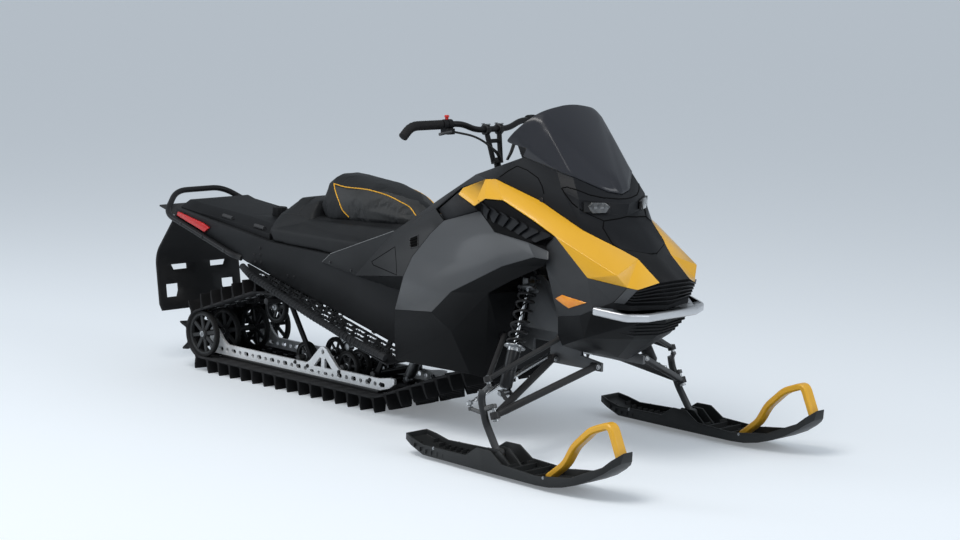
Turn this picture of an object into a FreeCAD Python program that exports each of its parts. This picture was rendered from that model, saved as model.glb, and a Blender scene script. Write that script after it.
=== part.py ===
import FreeCAD, Part
import math
import os
import Sketcher

# Snowmobile: two skis in front, one track behind. X points forward, Y to its left, Z up.
# The origin is on the floor in the middle of the machine. Lengths are millimetres.

Vector = FreeCAD.Vector
ORIGIN = Vector(0, 0, 0)
ALONG_X = Vector(1, 0, 0)
ALONG_Y = Vector(0, 1, 0)
ALONG_Z = Vector(0, 0, 1)
SIDES = (("right", -1), ("left", 1))

doc = FreeCAD.newDocument("Snowmobile")

# Driving dimensions, each in one cell of the sheet with its name as the alias.
SIZES = {
    # Skis: the stance is between ski centres, the bolt joins a ski to its spindle.
    "ski_stance": 994,
    "ski_bolt_x": 889,
    "ski_bolt_z": 64,
    "ski_tip_x": 1468,
    "ski_tip_z": 170,
    "ski_tail_x": 486,
    "ski_tail_z": 50,
    "ski_width": 158,
    "ski_tail_width": 118,
    "ski_wall": 7,
    "ski_floor": 9,
    "ski_side_height": 40,
    "ski_keel_depth": 14,
    "ski_keel_width": 52,
    "runner_radius": 5,
    "ski_rib_count": 3,
    "ski_rib_thick": 5,
    "loop_width": 30,
    "loop_thick": 20,
    # Steering axes: lower and upper ball joints of a spindle, and its steering ball.
    "lower_ball_x": 854,
    "lower_ball_y": 478,
    "lower_ball_z": 184,
    "upper_ball_x": 809,
    "upper_ball_y": 470,
    "upper_ball_z": 300,
    "steer_ball_x": 752,
    "steer_ball_y": 498,
    "steer_ball_z": 212,
    "rod_inner_x": 706,
    "rod_inner_y": 28,
    "rod_inner_z": 336,
    "tie_rod_radius": 8,
    # Suspension arms of the skis, by their pivots on the front frame.
    "lower_front_x": 977,
    "lower_rear_x": 778,
    "lower_pivot_y": 112,
    "lower_pivot_z": 326,
    "upper_front_x": 881,
    "upper_rear_x": 622,
    "upper_pivot_y": 172,
    "upper_pivot_z": 420,
    "lower_tube_radius": 13,
    "upper_tube_radius": 9,
    # Ski shocks.
    "shock_top_x": 745,
    "shock_top_y": 214,
    "shock_top_z": 596,
    "shock_foot_x": 800,
    "shock_foot_y": 384,
    "shock_foot_z": 241,
    "shock_body_radius": 23,
    "shock_rod_radius": 8,
    "spring_radius": 34,
    "spring_wire": 5,
    # Tunnel: the sheet channel over the track.
    "tunnel_width": 444,
    "tunnel_sheet": 4,
    "tunnel_rear_x": -1286,
    "tunnel_rear_z": 668,
    "tunnel_knee_x": -670,
    "tunnel_knee_z": 590,
    "tunnel_deck_z": 578,
    "tunnel_front_x": 560,
    "tunnel_sill_z": 250,
    # Seat: the base sits on the tunnel deck, the cushion on the base.
    "seat_rear_x": -703,
    "seat_bump_x": -632,
    "seat_bump_z": 768,
    "seat_back_x": -512,
    "seat_front_x": 40,
    "seat_pan_z": 696,
    "seat_base_width": 412,
    "seat_peak_x": -440,
    "seat_peak_z": 868,
    "seat_mid_x": -215,
    "seat_mid_z": 836,
    "seat_slope_x": -45,
    "seat_slope_z": 786,
    "seat_gap": 0.3,
    # Running boards.
    "board_outer_y": 375,
    "board_rear_x": -818,
    "board_rear_z": 496,
    "board_front_x": 226,
    "board_front_z": 240,
    "board_thick": 5,
    "board_tube_radius": 14,
    # Track loop: the belt runs round drive sprockets, rails, rear wheels and carriers.
    "track_width": 406,
    "belt_thick": 8,
    "lug_height": 57,
    "lug_thick": 9,
    "lug_count": 51,
    "drive_x": 377,
    "drive_z": 330,
    "sprocket_radius": 92,
    "rear_wheel_x": -1145,
    "rear_wheel_radius": 95,
    "rear_wheel_width": 22,
    "rear_wheel_y": 186,
    "rear_wheel_inner_y": 76,
    "carrier_x": -790,
    "carrier_z": 306,
    "carrier_radius": 66,
    "ramp_radius": 190,
    "rail_tip_x": -31,
    # Rails.
    "rail_y": 131,
    "rail_thick": 12,
    "rail_height": 44,
    "shoe_thick": 11,
    "tower_x": -448,
    "tower_height": 76,
    "idler_radius": 62,
    "idler_width": 20,
    "front_idler_x": -350,
    "front_idler_y": 88,
    "front_idler_inner_y": 28,
    "rear_idler_x": -616,
    "rear_idler_y": 76,
    # Track suspension: heads and feet of the swing arms and of the two shocks.
    "axle_radius": 12,
    "arm_radius": 14,
    "front_arm_top_x": -60,
    "front_arm_top_z": 322,
    "front_arm_foot_x": -170,
    "rear_arm_top_x": -700,
    "rear_arm_top_z": 352,
    "rear_arm_foot_x": -540,
    "front_shock_top_x": 60,
    "front_shock_top_z": 380,
    "front_shock_foot_x": -106,
    "rear_shock_top_x": -585,
    "rear_shock_top_z": 352,
    # Handlebar, with its post leaning back.
    "post_x": 362,
    "post_z": 967,
    "post_lean": 13,
    "bar_z": 1089,
    "bar_radius": 11,
    "grip_radius": 17,
    "grip_end_x": 300,
    "grip_end_y": 402,
    "grip_end_z": 1078,
    "bar_bend_y": 330,
    "bar_bend_z": 1112,
    # Body shell.
    "panel_thick": 5,
    "screen_thick": 4,
    "screen_lift": 4,
    "spine_rear_x": 420,
    "spine_front_x": 850,
    "spine_z": 560,
    # Front bumper blade, rear bumper tube and flap.
    "blade_height": 26,
    "blade_thick": 16,
    "hoop_radius": 12,
    "flap_width": 430,
    "flap_thick": 6,
    "flap_rear_x": -1446,
    # Bolted interfaces.
    "anchor_radius": 30,
    "anchor_hole": 14,
    "anchor_height": 42,
    "anchor_rear_x": -884,
}

# Corners of the body shell on the machine's right side, as x, y and z. Panels that meet
# share their corners, so their edges lie against each other. Corners at y = 0 are on the
# centre plane.
CORNERS = {
    # Yellow fairing: upper edge from its tail to the nose, then lower edge back.
    "tail_top": (445, -250, 900),
    "tail_low": (436, -264, 878),
    "strip_top_a": (534, -225, 938),
    "strip_top_b": (572, -215, 941),
    "strip_top_c": (778, -205, 883),
    "strip_top_d": (955, -178, 797),
    "strip_top_e": (1069, -115, 740),
    "strip_top_f": (1125, -84, 709),
    "nose_in": (1217, -76, 638),
    "nose_low": (1182, -145, 616),
    "strip_low_f": (1158, -175, 624),
    "strip_low_e": (1038, -239, 648),
    "strip_low_d": (906, -262, 778),
    "strip_low_c": (807, -272, 827),
    "strip_low_b": (675, -282, 882),
    "strip_low_a": (591, -285, 879),
    "tail_hook": (537, -285, 848),
    "crease_end": (1139, -205, 665),
    # Hood: deck behind the windshield, windshield foot, lamp brow and beak.
    "deck_rear": (360, 0, 952),
    "deck_edge": (366, -110, 934),
    "deck_shoulder": (384, -205, 893),
    "deck_mid": (640, 0, 1010),
    "screen_foot_a": (678, -190, 1022),
    "screen_foot_b": (818, -165, 983),
    "screen_foot_c": (879, -150, 966),
    "screen_foot_d": (954, -55, 915),
    "screen_foot_e": (970, 0, 905),
    "brow_start": (867, -190, 925),
    "brow_out": (925, -168, 897),
    "brow_in": (985, -62, 884),
    "beak_top": (1004, 0, 878),
    "lamp_out": (935, -172, 850),
    "lamp_in": (984, -62, 846),
    "beak_low": (992, 0, 832),
    "cheek": (985, -120, 822),
    "cheek_in": (1012, -50, 803),
    "cheek_mid": (1018, 0, 800),
    "shield_low": (1128, 0, 716),
    "nose_mid": (1222, 0, 640),
    # Grille face between fairing and bumper, and the chin under it.
    "strip_end": (1113, -190, 571),
    "grille_low": (1152, -150, 560),
    "grille_low_mid": (1190, 0, 552),
    "chin_side": (1060, -235, 541),
    "chin": (1165, -125, 500),
    "chin_mid": (1182, 0, 492),
    "belly_side": (1015, -225, 440),
    "belly_front": (1120, -95, 436),
    "belly_front_mid": (1132, 0, 430),
    "keel_front": (1010, -48, 352),
    "keel_front_mid": (1010, 0, 340),
    "keel_rear": (912, -80, 356),
    "keel_rear_mid": (912, 0, 350),
    # Nose side, from the fairing down to the wheel-side recess.
    "cheek_top": (880, -276, 742),
    "cheek_rear": (880, -275, 672),
    "cheek_fold": (958, -266, 602),
    "cheek_low": (927, -262, 506),
    "cheek_low_front": (1014, -247, 519),
    "jaw": (908, -240, 440),
    "jaw_low": (911, -220, 400),
    "jaw_inner": (925, -150, 376),
    # Side panel: the grey face.
    "panel_peak": (547, -262, 830),
    "panel_back_a": (369, -270, 779),
    "panel_back_b": (318, -284, 730),
    "panel_back_c": (250, -311, 640),
    "panel_back_d": (226, -330, 570),
    "panel_back_e": (222, -366, 452),
    "panel_knee": (424, -374, 470),
    "panel_edge_a": (499, -353, 548),
    "panel_edge_b": (722, -326, 660),
    "panel_edge_c": (865, -318, 706),
    "panel_tip": (918, -305, 702),
    "panel_nose": (908, -295, 730),
    "panel_front": (817, -300, 751),
    "panel_notch": (643, -285, 767),
    # Black rail under the grey face, and the lower pan.
    "rail_tip": (886, -290, 675),
    "rail_mid": (753, -318, 611),
    "rail_low": (659, -330, 560),
    "pan_rear_mid": (222, -366, 378),
    "pan_rear_low": (203, -345, 263),
    "pan_bend": (517, -366, 412),
    "pan_front_low": (546, -300, 257),
    "pan_front_toe": (586, -262, 244),
    "pan_front_in": (640, -215, 300),
    "pan_front_top": (690, -215, 560),
    # Console over the tank, between seat and hood.
    "tank_rear": (46, 0, 758),
    "tank_rear_edge": (52, -90, 748),
    "tank_rear_low": (66, -232, 708),
    "tank_mid": (215, -110, 850),
    "tank_mid_top": (200, 0, 862),
    "tank_side": (290, -236, 812),
    # Side cover between tunnel, console and side panel, and the wall at the rider's toes.
    "cover_v": (-300, -227.5, 584),
    "cover_rear": (-349, -227.5, 548),
    "cover_bolt": (-152, -228, 519),
    "toe_top": (232, -228, 476),
    "toe_low": (212, -228, 262),
    # Windshield.
    "screen_top": (718, 0, 1201),
    "screen_top_side": (718, -118, 1184),
    "screen_shoulder": (692, -172, 1156),
    "screen_ridge": (738, -152, 1140),
    "screen_wing_up": (652, -215, 1102),
    "screen_wing_low": (627, -225, 1069),
    "screen_fold": (697, -192, 1050),
}

# The panels of the shell, each a list of facets between corners. A facet is written from
# above or outside, in either sense. "left" and "right" panels use the side corners as they
# are or mirrored; centre panels take both halves.
CENTRE_PANELS = {
    "hood": [
        ("deck_rear", "deck_edge", "deck_mid"),
        ("deck_edge", "deck_shoulder", "strip_top_a"),
        ("deck_edge", "strip_top_a", "strip_top_b"),
        ("deck_edge", "strip_top_b", "screen_foot_a"),
        ("deck_edge", "screen_foot_a", "deck_mid"),
        ("strip_top_b", "strip_top_c", "screen_foot_a"),
        ("screen_foot_a", "strip_top_c", "screen_foot_b"),
        ("screen_foot_b", "strip_top_c", "brow_start"),
        ("deck_mid", "screen_foot_a", "screen_foot_b"),
        ("deck_mid", "screen_foot_b", "screen_foot_c"),
        ("deck_mid", "screen_foot_c", "screen_foot_d"),
        ("deck_mid", "screen_foot_d", "screen_foot_e"),
        ("screen_foot_b", "brow_start", "brow_out"),
        ("screen_foot_b", "brow_out", "screen_foot_c"),
        ("screen_foot_c", "brow_out", "brow_in"),
        ("screen_foot_c", "brow_in", "screen_foot_d"),
        ("screen_foot_d", "brow_in", "beak_top"),
        ("screen_foot_d", "beak_top", "screen_foot_e"),
        ("brow_start", "lamp_out", "brow_out"),
        ("brow_out", "lamp_out", "lamp_in"),
        ("brow_out", "lamp_in", "brow_in"),
        ("brow_in", "lamp_in", "beak_low"),
        ("brow_in", "beak_low", "beak_top"),
        ("brow_start", "strip_top_c", "strip_top_d"),
        ("brow_start", "strip_top_d", "lamp_out"),
        ("lamp_out", "strip_top_d", "cheek"),
        ("lamp_out", "cheek", "lamp_in"),
        ("lamp_in", "cheek", "cheek_in"),
        ("lamp_in", "cheek_in", "beak_low"),
        ("beak_low", "cheek_in", "cheek_mid"),
        ("cheek", "strip_top_d", "strip_top_e"),
        ("cheek", "strip_top_e", "cheek_in"),
        ("cheek_in", "strip_top_e", "shield_low"),
        ("cheek_in", "shield_low", "cheek_mid"),
    ],
    "nose_cap": [
        ("shield_low", "strip_top_e", "strip_top_f"),
        ("shield_low", "strip_top_f", "nose_in"),
        ("shield_low", "nose_in", "nose_mid"),
    ],
    "grille_shell": [
        ("nose_mid", "nose_in", "grille_low_mid"),
        ("nose_in", "nose_low", "grille_low"),
        ("nose_in", "grille_low", "grille_low_mid"),
        ("nose_low", "strip_end", "grille_low"),
    ],
    "lower_nose": [
        ("grille_low_mid", "grille_low", "chin_mid"),
        ("grille_low", "chin", "chin_mid"),
        ("grille_low", "strip_end", "chin"),
        ("strip_end", "chin_side", "chin"),
        ("chin_side", "cheek_low_front", "belly_side"),
        ("chin_side", "belly_side", "chin"),
        ("chin", "belly_side", "belly_front"),
        ("chin", "belly_front", "chin_mid"),
        ("chin_mid", "belly_front", "belly_front_mid"),
        ("cheek_low_front", "cheek_low", "jaw"),
        ("cheek_low_front", "jaw", "belly_side"),
        ("jaw", "jaw_low", "belly_side"),
        ("jaw_low", "jaw_inner", "belly_side"),
        ("belly_side", "jaw_inner", "keel_front"),
        ("belly_side", "keel_front", "belly_front"),
        ("belly_front", "keel_front", "keel_front_mid"),
        ("belly_front", "keel_front_mid", "belly_front_mid"),
        ("jaw_inner", "keel_rear", "keel_front"),
        ("keel_front", "keel_rear", "keel_rear_mid"),
        ("keel_front", "keel_rear_mid", "keel_front_mid"),
    ],
    "console": [
        ("deck_rear", "tank_mid_top", "tank_mid"),
        ("deck_rear", "tank_mid", "deck_edge"),
        ("tank_mid_top", "tank_rear", "tank_rear_edge"),
        ("tank_mid_top", "tank_rear_edge", "tank_mid"),
        ("tank_mid", "tank_rear_edge", "tank_rear_low"),
        ("tank_mid", "tank_rear_low", "tank_side"),
        ("tank_mid", "tank_side", "deck_shoulder"),
        ("tank_mid", "deck_shoulder", "deck_edge"),
    ],
}
SIDE_PANELS = {
    "fairing": [
        ("tail_low", "tail_top", "strip_top_a"),
        ("tail_low", "strip_top_a", "tail_hook"),
        ("tail_hook", "strip_top_a", "strip_low_a"),
        ("strip_low_a", "strip_top_a", "strip_top_b"),
        ("strip_low_a", "strip_top_b", "strip_low_b"),
        ("strip_low_b", "strip_top_b", "strip_top_c"),
        ("strip_low_b", "strip_top_c", "strip_low_c"),
        ("strip_low_c", "strip_top_c", "strip_top_d"),
        ("strip_low_c", "strip_top_d", "strip_low_d"),
        ("strip_low_d", "strip_top_d", "crease_end"),
        ("strip_low_d", "crease_end", "strip_low_e"),
        ("crease_end", "strip_top_d", "strip_top_e"),
        ("crease_end", "strip_top_e", "strip_top_f"),
        ("crease_end", "strip_top_f", "strip_low_f"),
        ("crease_end", "strip_low_f", "strip_low_e"),
        ("strip_top_f", "nose_in", "nose_low"),
        ("strip_top_f", "nose_low", "strip_low_f"),
    ],
    "nose_side": [
        ("cheek_top", "strip_low_d", "cheek_rear"),
        ("strip_low_d", "strip_low_e", "cheek_fold"),
        ("strip_low_d", "cheek_fold", "cheek_rear"),
        ("cheek_rear", "cheek_fold", "cheek_low"),
        ("cheek_fold", "strip_low_e", "chin_side"),
        ("cheek_fold", "chin_side", "cheek_low_front"),
        ("cheek_fold", "cheek_low_front", "cheek_low"),
        ("strip_low_e", "strip_end", "chin_side"),
        ("strip_low_e", "strip_low_f", "strip_end"),
        ("strip_low_f", "nose_low", "strip_end"),
    ],
    "side_panel": [
        ("panel_peak", "panel_back_a", "panel_notch"),
        ("panel_back_a", "panel_back_b", "panel_notch"),
        ("panel_back_b", "panel_edge_b", "panel_notch"),
        ("panel_notch", "panel_edge_b", "panel_front"),
        ("panel_front", "panel_edge_b", "panel_edge_c"),
        ("panel_front", "panel_edge_c", "panel_nose"),
        ("panel_nose", "panel_edge_c", "panel_tip"),
        ("panel_back_b", "panel_back_c", "panel_edge_b"),
        ("panel_back_c", "panel_edge_a", "panel_edge_b"),
        ("panel_back_c", "panel_back_d", "panel_edge_a"),
        ("panel_back_d", "panel_back_e", "panel_edge_a"),
        ("panel_back_e", "panel_knee", "panel_edge_a"),
    ],
    "lower_pan": [
        ("panel_edge_c", "rail_tip", "panel_tip"),
        ("panel_edge_c", "panel_edge_b", "rail_tip"),
        ("panel_edge_b", "rail_mid", "rail_tip"),
        ("panel_edge_b", "panel_edge_a", "rail_mid"),
        ("panel_edge_a", "rail_low", "rail_mid"),
        ("panel_edge_a", "panel_knee", "rail_low"),
        ("panel_knee", "pan_bend", "rail_low"),
        ("panel_back_e", "pan_rear_mid", "panel_knee"),
        ("pan_rear_mid", "pan_bend", "panel_knee"),
        ("pan_rear_mid", "pan_rear_low", "pan_bend"),
        ("pan_bend", "pan_rear_low", "pan_front_low"),
        ("pan_bend", "pan_front_low", "rail_low"),
        ("pan_front_low", "pan_front_toe", "rail_low"),
        ("rail_low", "pan_front_toe", "pan_front_in"),
        ("rail_low", "pan_front_in", "pan_front_top"),
        ("panel_back_e", "toe_top", "pan_rear_mid"),
        ("pan_rear_mid", "toe_top", "toe_low"),
        ("pan_rear_mid", "toe_low", "pan_rear_low"),
    ],
    "side_cover": [
        ("cover_v", "tank_rear_low", "cover_bolt"),
        ("cover_v", "cover_bolt", "cover_rear"),
        ("tank_rear_low", "tank_side", "panel_back_b"),
        ("tank_side", "panel_back_a", "panel_back_b"),
        ("tank_rear_low", "panel_back_b", "panel_back_c"),
        ("cover_bolt", "tank_rear_low", "panel_back_c"),
        ("cover_bolt", "panel_back_c", "panel_back_d"),
        ("cover_bolt", "panel_back_d", "toe_top"),
        ("panel_back_d", "panel_back_e", "toe_top"),
    ],
}
SCREEN_FACETS = [
    ("screen_top", "screen_top_side", "screen_foot_e"),
    ("screen_top_side", "screen_ridge", "screen_foot_e"),
    ("screen_ridge", "screen_foot_d", "screen_foot_e"),
    ("screen_ridge", "screen_foot_c", "screen_foot_d"),
    ("screen_ridge", "screen_foot_b", "screen_foot_c"),
    ("screen_ridge", "screen_fold", "screen_foot_b"),
    ("screen_fold", "screen_foot_a", "screen_foot_b"),
    ("screen_top_side", "screen_shoulder", "screen_ridge"),
    ("screen_shoulder", "screen_wing_up", "screen_fold"),
    ("screen_shoulder", "screen_fold", "screen_ridge"),
    ("screen_wing_up", "screen_wing_low", "screen_fold"),
]

sheet = doc.addObject("Spreadsheet::Sheet", "Sizes")
for row, (alias, number) in enumerate(SIZES.items(), start=1):
    sheet.set(f"A{row}", alias)
    sheet.set(f"B{row}", str(number))
    sheet.setAlias(f"B{row}", alias)
doc.recompute()


class Size:
    """A length with its number and the expression that binds it to the sheet."""

    def __init__(self, value, text):
        self.value = value
        self.text = text

    def __add__(self, other):
        other = as_size(other)
        return Size(self.value + other.value, f"({self.text} + {other.text})")

    def __radd__(self, other):
        return as_size(other) + self

    def __sub__(self, other):
        other = as_size(other)
        return Size(self.value - other.value, f"({self.text} - {other.text})")

    def __rsub__(self, other):
        return as_size(other) - self

    def __mul__(self, other):
        other = as_size(other)
        return Size(self.value * other.value, f"({self.text} * {other.text})")

    def __rmul__(self, other):
        return as_size(other) * self

    def __truediv__(self, other):
        other = as_size(other)
        return Size(self.value / other.value, f"({self.text} / {other.text})")

    def __neg__(self):
        return Size(-self.value, f"(0 - {self.text})")

    def __float__(self):
        return float(self.value)


def as_size(number):
    """A plain number as a Size."""
    if isinstance(number, Size):
        return number
    return Size(float(number), repr(float(number)))


def cell(alias):
    """The sheet's cell with this alias, as a Size."""
    return Size(float(sheet.get(alias)), f"Sizes.{alias}")


def value(alias):
    """The number in the sheet's cell."""
    return float(sheet.get(alias))


def bind(thing, name, size):
    """Set a property of a document object and bind it to the sheet."""
    size = as_size(size)
    setattr(thing, name, size.value)
    thing.setExpression(name, size.text)


def new_body(label):
    body = doc.addObject("PartDesign::Body", label)
    body.Label = label
    return body


def new_sketch(body, plane, offset=0.0):
    """A sketch on one of the body's origin planes, moved along the plane's normal."""
    sketch = body.newObject("Sketcher::SketchObject", f"{body.Name}_sketch")
    face = next(item for item in body.Origin.OriginFeatures if item.Role == plane)
    sketch.AttachmentSupport = [(face, "")]
    sketch.MapMode = "FlatFace"
    offset = as_size(offset)
    sketch.AttachmentOffset = FreeCAD.Placement(Vector(0, 0, offset.value), FreeCAD.Rotation())
    sketch.setExpression("AttachmentOffset.Base.z", offset.text)
    return sketch


def outline(sketch, corners):
    """A closed outline of straight lines, each corner bound to the sheet."""
    corners = [(as_size(across), as_size(up)) for across, up in corners]
    first = sketch.GeometryCount
    count = len(corners)
    for index, (across, up) in enumerate(corners):
        after = corners[(index + 1) % count]
        start = Vector(across.value, up.value, 0)
        end = Vector(after[0].value, after[1].value, 0)
        sketch.addGeometry(Part.LineSegment(start, end), False)
    for index in range(count):
        after = first + (index + 1) % count
        sketch.addConstraint(Sketcher.Constraint("Coincident", first + index, 2, after, 1))
    for index, (across, up) in enumerate(corners):
        line = first + index
        for kind, size in (("DistanceX", across), ("DistanceY", up)):
            rule = Sketcher.Constraint(kind, -1, 1, line, 1, size.value)
            number = sketch.addConstraint(rule)
            sketch.setExpression(f"Constraints[{number}]", size.text)


def ring(sketch, across, up, radius):
    """A circle with its centre and radius bound to the sheet."""
    across, up, radius = as_size(across), as_size(up), as_size(radius)
    centre = Vector(across.value, up.value, 0)
    number = sketch.addGeometry(Part.Circle(centre, ALONG_Z, radius.value), False)
    rules = (
        Sketcher.Constraint("DistanceX", -1, 1, number, 3, across.value),
        Sketcher.Constraint("DistanceY", -1, 1, number, 3, up.value),
        Sketcher.Constraint("Radius", number, radius.value),
    )
    for rule, size in zip(rules, (across, up, radius)):
        place = sketch.addConstraint(rule)
        sketch.setExpression(f"Constraints[{place}]", size.text)


def pad(body, sketch, length):
    """Thicken a sketch to both sides of its plane."""
    feature = body.newObject("PartDesign::Pad", f"{body.Name}_pad")
    feature.Profile = sketch
    feature.Midplane = True
    bind(feature, "Length", length)
    return feature


def pocket(body, sketch, length):
    """Cut a sketch to both sides of its plane."""
    feature = body.newObject("PartDesign::Pocket", f"{body.Name}_pocket")
    feature.Profile = sketch
    feature.Midplane = True
    bind(feature, "Length", length)
    return feature


def between(start, end):
    """The placement that turns Z along the way from start to end."""
    turn = FreeCAD.Rotation(ALONG_Z, end - start)
    return FreeCAD.Placement(start, turn)


def bar(label, start, end, radius):
    """A round bar from start to end."""
    thing = doc.addObject("Part::Cylinder", label)
    thing.Label = label
    bind(thing, "Radius", radius)
    thing.Height = (end - start).Length
    thing.Placement = between(start, end)
    return thing


def union(label, things):
    fused = doc.addObject("Part::MultiFuse", label)
    fused.Label = label
    fused.Shapes = things
    fused.Refine = True
    return fused


def cut(label, base, tool):
    thing = doc.addObject("Part::Cut", label)
    thing.Label = label
    thing.Base = base
    thing.Tool = tool
    thing.Refine = True
    return thing


def common(label, things):
    thing = doc.addObject("Part::MultiCommon", label)
    thing.Label = label
    thing.Shapes = things
    thing.Refine = True
    return thing


def feature(label, shape):
    """A piece whose shape is worked out here."""
    thing = doc.addObject("Part::Feature", label)
    thing.Label = label
    thing.Shape = shape
    return thing


def eased(points, bend, steps):
    """The points of a line with each inner corner eased by an arc of the bend radius."""
    line = [points[0]]
    for before, corner, after in zip(points, points[1:], points[2:]):
        incoming = (corner - before).normalize()
        outgoing = (after - corner).normalize()
        turn = incoming.getAngle(outgoing)
        trim = bend * math.tan(turn / 2)
        inward = (outgoing - incoming).normalize()
        centre = corner + inward * (bend / math.cos(turn / 2))
        start = corner - incoming * trim - centre
        for step in range(steps + 1):
            share = turn * step / steps
            line.append(centre + start * math.cos(share) + incoming * (bend * math.sin(share)))
    return line + [points[-1]]


def closed(faces):
    """The solid inside a closed set of flat faces."""
    solid = Part.Solid(Part.Shell(faces))
    if solid.Volume < 0:
        solid.reverse()
    return solid


def polygon_face(points):
    return Part.Face(Part.makePolygon(points + points[:1]))


def triangle(a, b, c):
    return Part.Face(Part.makePolygon([a, b, c, a]))


def ringed_solid(rings):
    """A closed solid through rings of as many points each, with flat facets between them."""
    faces = [polygon_face(rings[0]), polygon_face(rings[-1])]
    for before, after in zip(rings, rings[1:]):
        for index, point in enumerate(before):
            following = (index + 1) % len(before)
            faces.append(triangle(point, before[following], after[index]))
            faces.append(triangle(before[following], after[following], after[index]))
    return closed(faces)


def round_path(points, radius, sides=8, bend=0, steps=3):
    """A round run along points as a prism of flat faces, mitred where it turns."""
    line = eased(points, bend, steps) if bend else points
    ways = [(after - before).normalize() for before, after in zip(line, line[1:])]
    helper = ALONG_Y if abs(ways[0].y) < 0.7 else ALONG_Z
    across = ways[0].cross(helper).normalize()
    upwards = ways[0].cross(across).normalize()
    rim = []
    for side in range(sides):
        angle = 2 * math.pi * (side + 0.5) / sides
        rim.append(line[0] + (across * math.cos(angle) + upwards * math.sin(angle)) * radius)
    faces = [polygon_face(rim)]
    for index, way in enumerate(ways):
        mitre = way
        if index + 1 < len(ways):
            mitre = (way + ways[index + 1]).normalize()
        end = line[index + 1]
        reached = [point + way * ((end - point).dot(mitre) / way.dot(mitre)) for point in rim]
        for side in range(sides):
            after = (side + 1) % sides
            faces.append(polygon_face([rim[side], rim[after], reached[after], reached[side]]))
        rim = reached
    faces.append(polygon_face(rim))
    return closed(faces)


def round_bar(radius, length, start, way, sides=8):
    """A round bar of flat faces from a start along a direction."""
    way = Vector(way).normalize()
    return round_path([start, start + way * length], radius, sides)


def bore_bar(radius, length, start, way, sides=8):
    """A hole's tool whose flat faces leave the full radius free."""
    return round_bar(radius / math.cos(math.pi / sides), length, start, way, sides)


def round_rod(label, points, radius, bend, sides=10, steps=3):
    """A bent round rod or tube as a piece."""
    return feature(label, round_path(points, radius, sides, bend, steps))


def group(label, shapes):
    """Like pieces that don't touch, as one node."""
    return keep(feature(label, Part.makeCompound(shapes)))


# Shell corners and the way each one moves inwards by the panel's thickness.
corner_sheet = doc.addObject("Spreadsheet::Sheet", "Corners")
for row, (name, place) in enumerate(CORNERS.items(), start=1):
    corner_sheet.set(f"A{row}", name)
    for column, axis, number in zip("BCD", "xyz", place):
        corner_sheet.set(f"{column}{row}", str(number))
        corner_sheet.setAlias(f"{column}{row}", f"{name}_{axis}")
doc.recompute()


def corner(name, side=-1):
    """A shell corner on the right side (side -1) or the left side (side 1)."""
    across, sideways, up = (float(corner_sheet.get(f"{name}_{axis}")) for axis in "xyz")
    return Vector(across, -side * sideways, up)


def facet_normal(points, inside):
    """Unit normal of a facet, pointing away from a point inside the machine."""
    normal = (points[1] - points[0]).cross(points[2] - points[0])
    normal.normalize()
    middle = (points[0] + points[1] + points[2]) * (1 / 3)
    if normal.dot(middle - inside) < 0:
        normal = -normal
    return normal


def shell_normals(facets, inside):
    """For each corner, the mean direction away from the machine over its facets."""
    sums = {}
    for names in facets:
        points = [corner(name) for name in names]
        normal = facet_normal(points, inside(points))
        for index, name in enumerate(names):
            ahead = points[(index + 1) % 3] - points[index]
            behind = points[index - 1] - points[index]
            sums.setdefault(name, []).append((normal, ahead.getAngle(behind)))
    normals = {}
    for name, parts in sums.items():
        total = Vector(0, 0, 0)
        for normal, share in parts:
            total += normal * share
        if abs(corner(name).y) < 0.001:
            total.y = 0
        total.normalize()
        lean = sum(normal.dot(total) * share for normal, share in parts)
        lean /= sum(share for _, share in parts)
        normals[name] = total * (1 / max(lean, 0.6))
    return normals


def sheet_solid(facets, outer, inner):
    """A solid sheet from facets of corner names and the two sides' positions."""
    faces = []
    edges = {}
    for names in facets:
        a, b, c = (outer[name] for name in names)
        faces.append(triangle(a, b, c))
        a, b, c = (inner[name] for name in names)
        faces.append(triangle(a, b, c))
        for index, name in enumerate(names):
            edge = tuple(sorted((name, names[(index + 1) % 3]), key=str))
            edges[edge] = edges.get(edge, 0) + 1
    for (first, second), uses in edges.items():
        if uses == 1:
            faces.append(triangle(outer[first], outer[second], inner[second]))
            faces.append(triangle(outer[first], inner[second], inner[first]))
    shell = Part.Shell(faces)
    solid = Part.Solid(shell)
    if solid.Volume < 0:
        solid.reverse()
    return solid.removeSplitter()


def spine_point(points):
    """A point on the machine's middle line beside a facet, inside the body."""
    middle = (points[0] + points[1] + points[2]) * (1 / 3)
    along = max(value("spine_rear_x"), min(middle.x, value("spine_front_x")))
    return Vector(along, 0, value("spine_z"))


def panel_solid(facets, normals, thick, side=-1, both=False, lift=0.0):
    """A shell panel of the given thickness on one side, or over both halves."""
    outer = {}
    inner = {}
    whole = []
    for half in (-1, 1) if both else (side,):
        for names in facets:
            keys = []
            for name in names:
                place = corner(name, half)
                key = name if abs(place.y) < 0.001 else (name, half)
                normal = normals[name]
                normal = Vector(normal.x, -half * normal.y, normal.z)
                outer[key] = place + ALONG_Z * lift
                inner[key] = outer[key] - normal * thick
                keys.append(key)
            whole.append(tuple(keys))
    return sheet_solid(whole, outer, inner)


NODES = []


def keep(thing):
    """Note a finished piece, which becomes a node of its own."""
    NODES.append(thing)
    return thing


# Steering post's line, which the shell leaves free.
lean = math.radians(value("post_lean"))
post_way = Vector(-math.sin(lean), 0, math.cos(lean))
post_top = Vector(value("post_x"), 0, value("post_z"))
post_radius = 13
post_room = bore_bar(post_radius + 6, 120, post_top - post_way * 90, post_way, 12)

# Body shell: centre panels and the side panels with their mirror images.
all_facets = [facet for group in CENTRE_PANELS.values() for facet in group]
all_facets += [facet for group in SIDE_PANELS.values() for facet in group]
shell_directions = shell_normals(all_facets, spine_point)
panel_thick = value("panel_thick")

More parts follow.
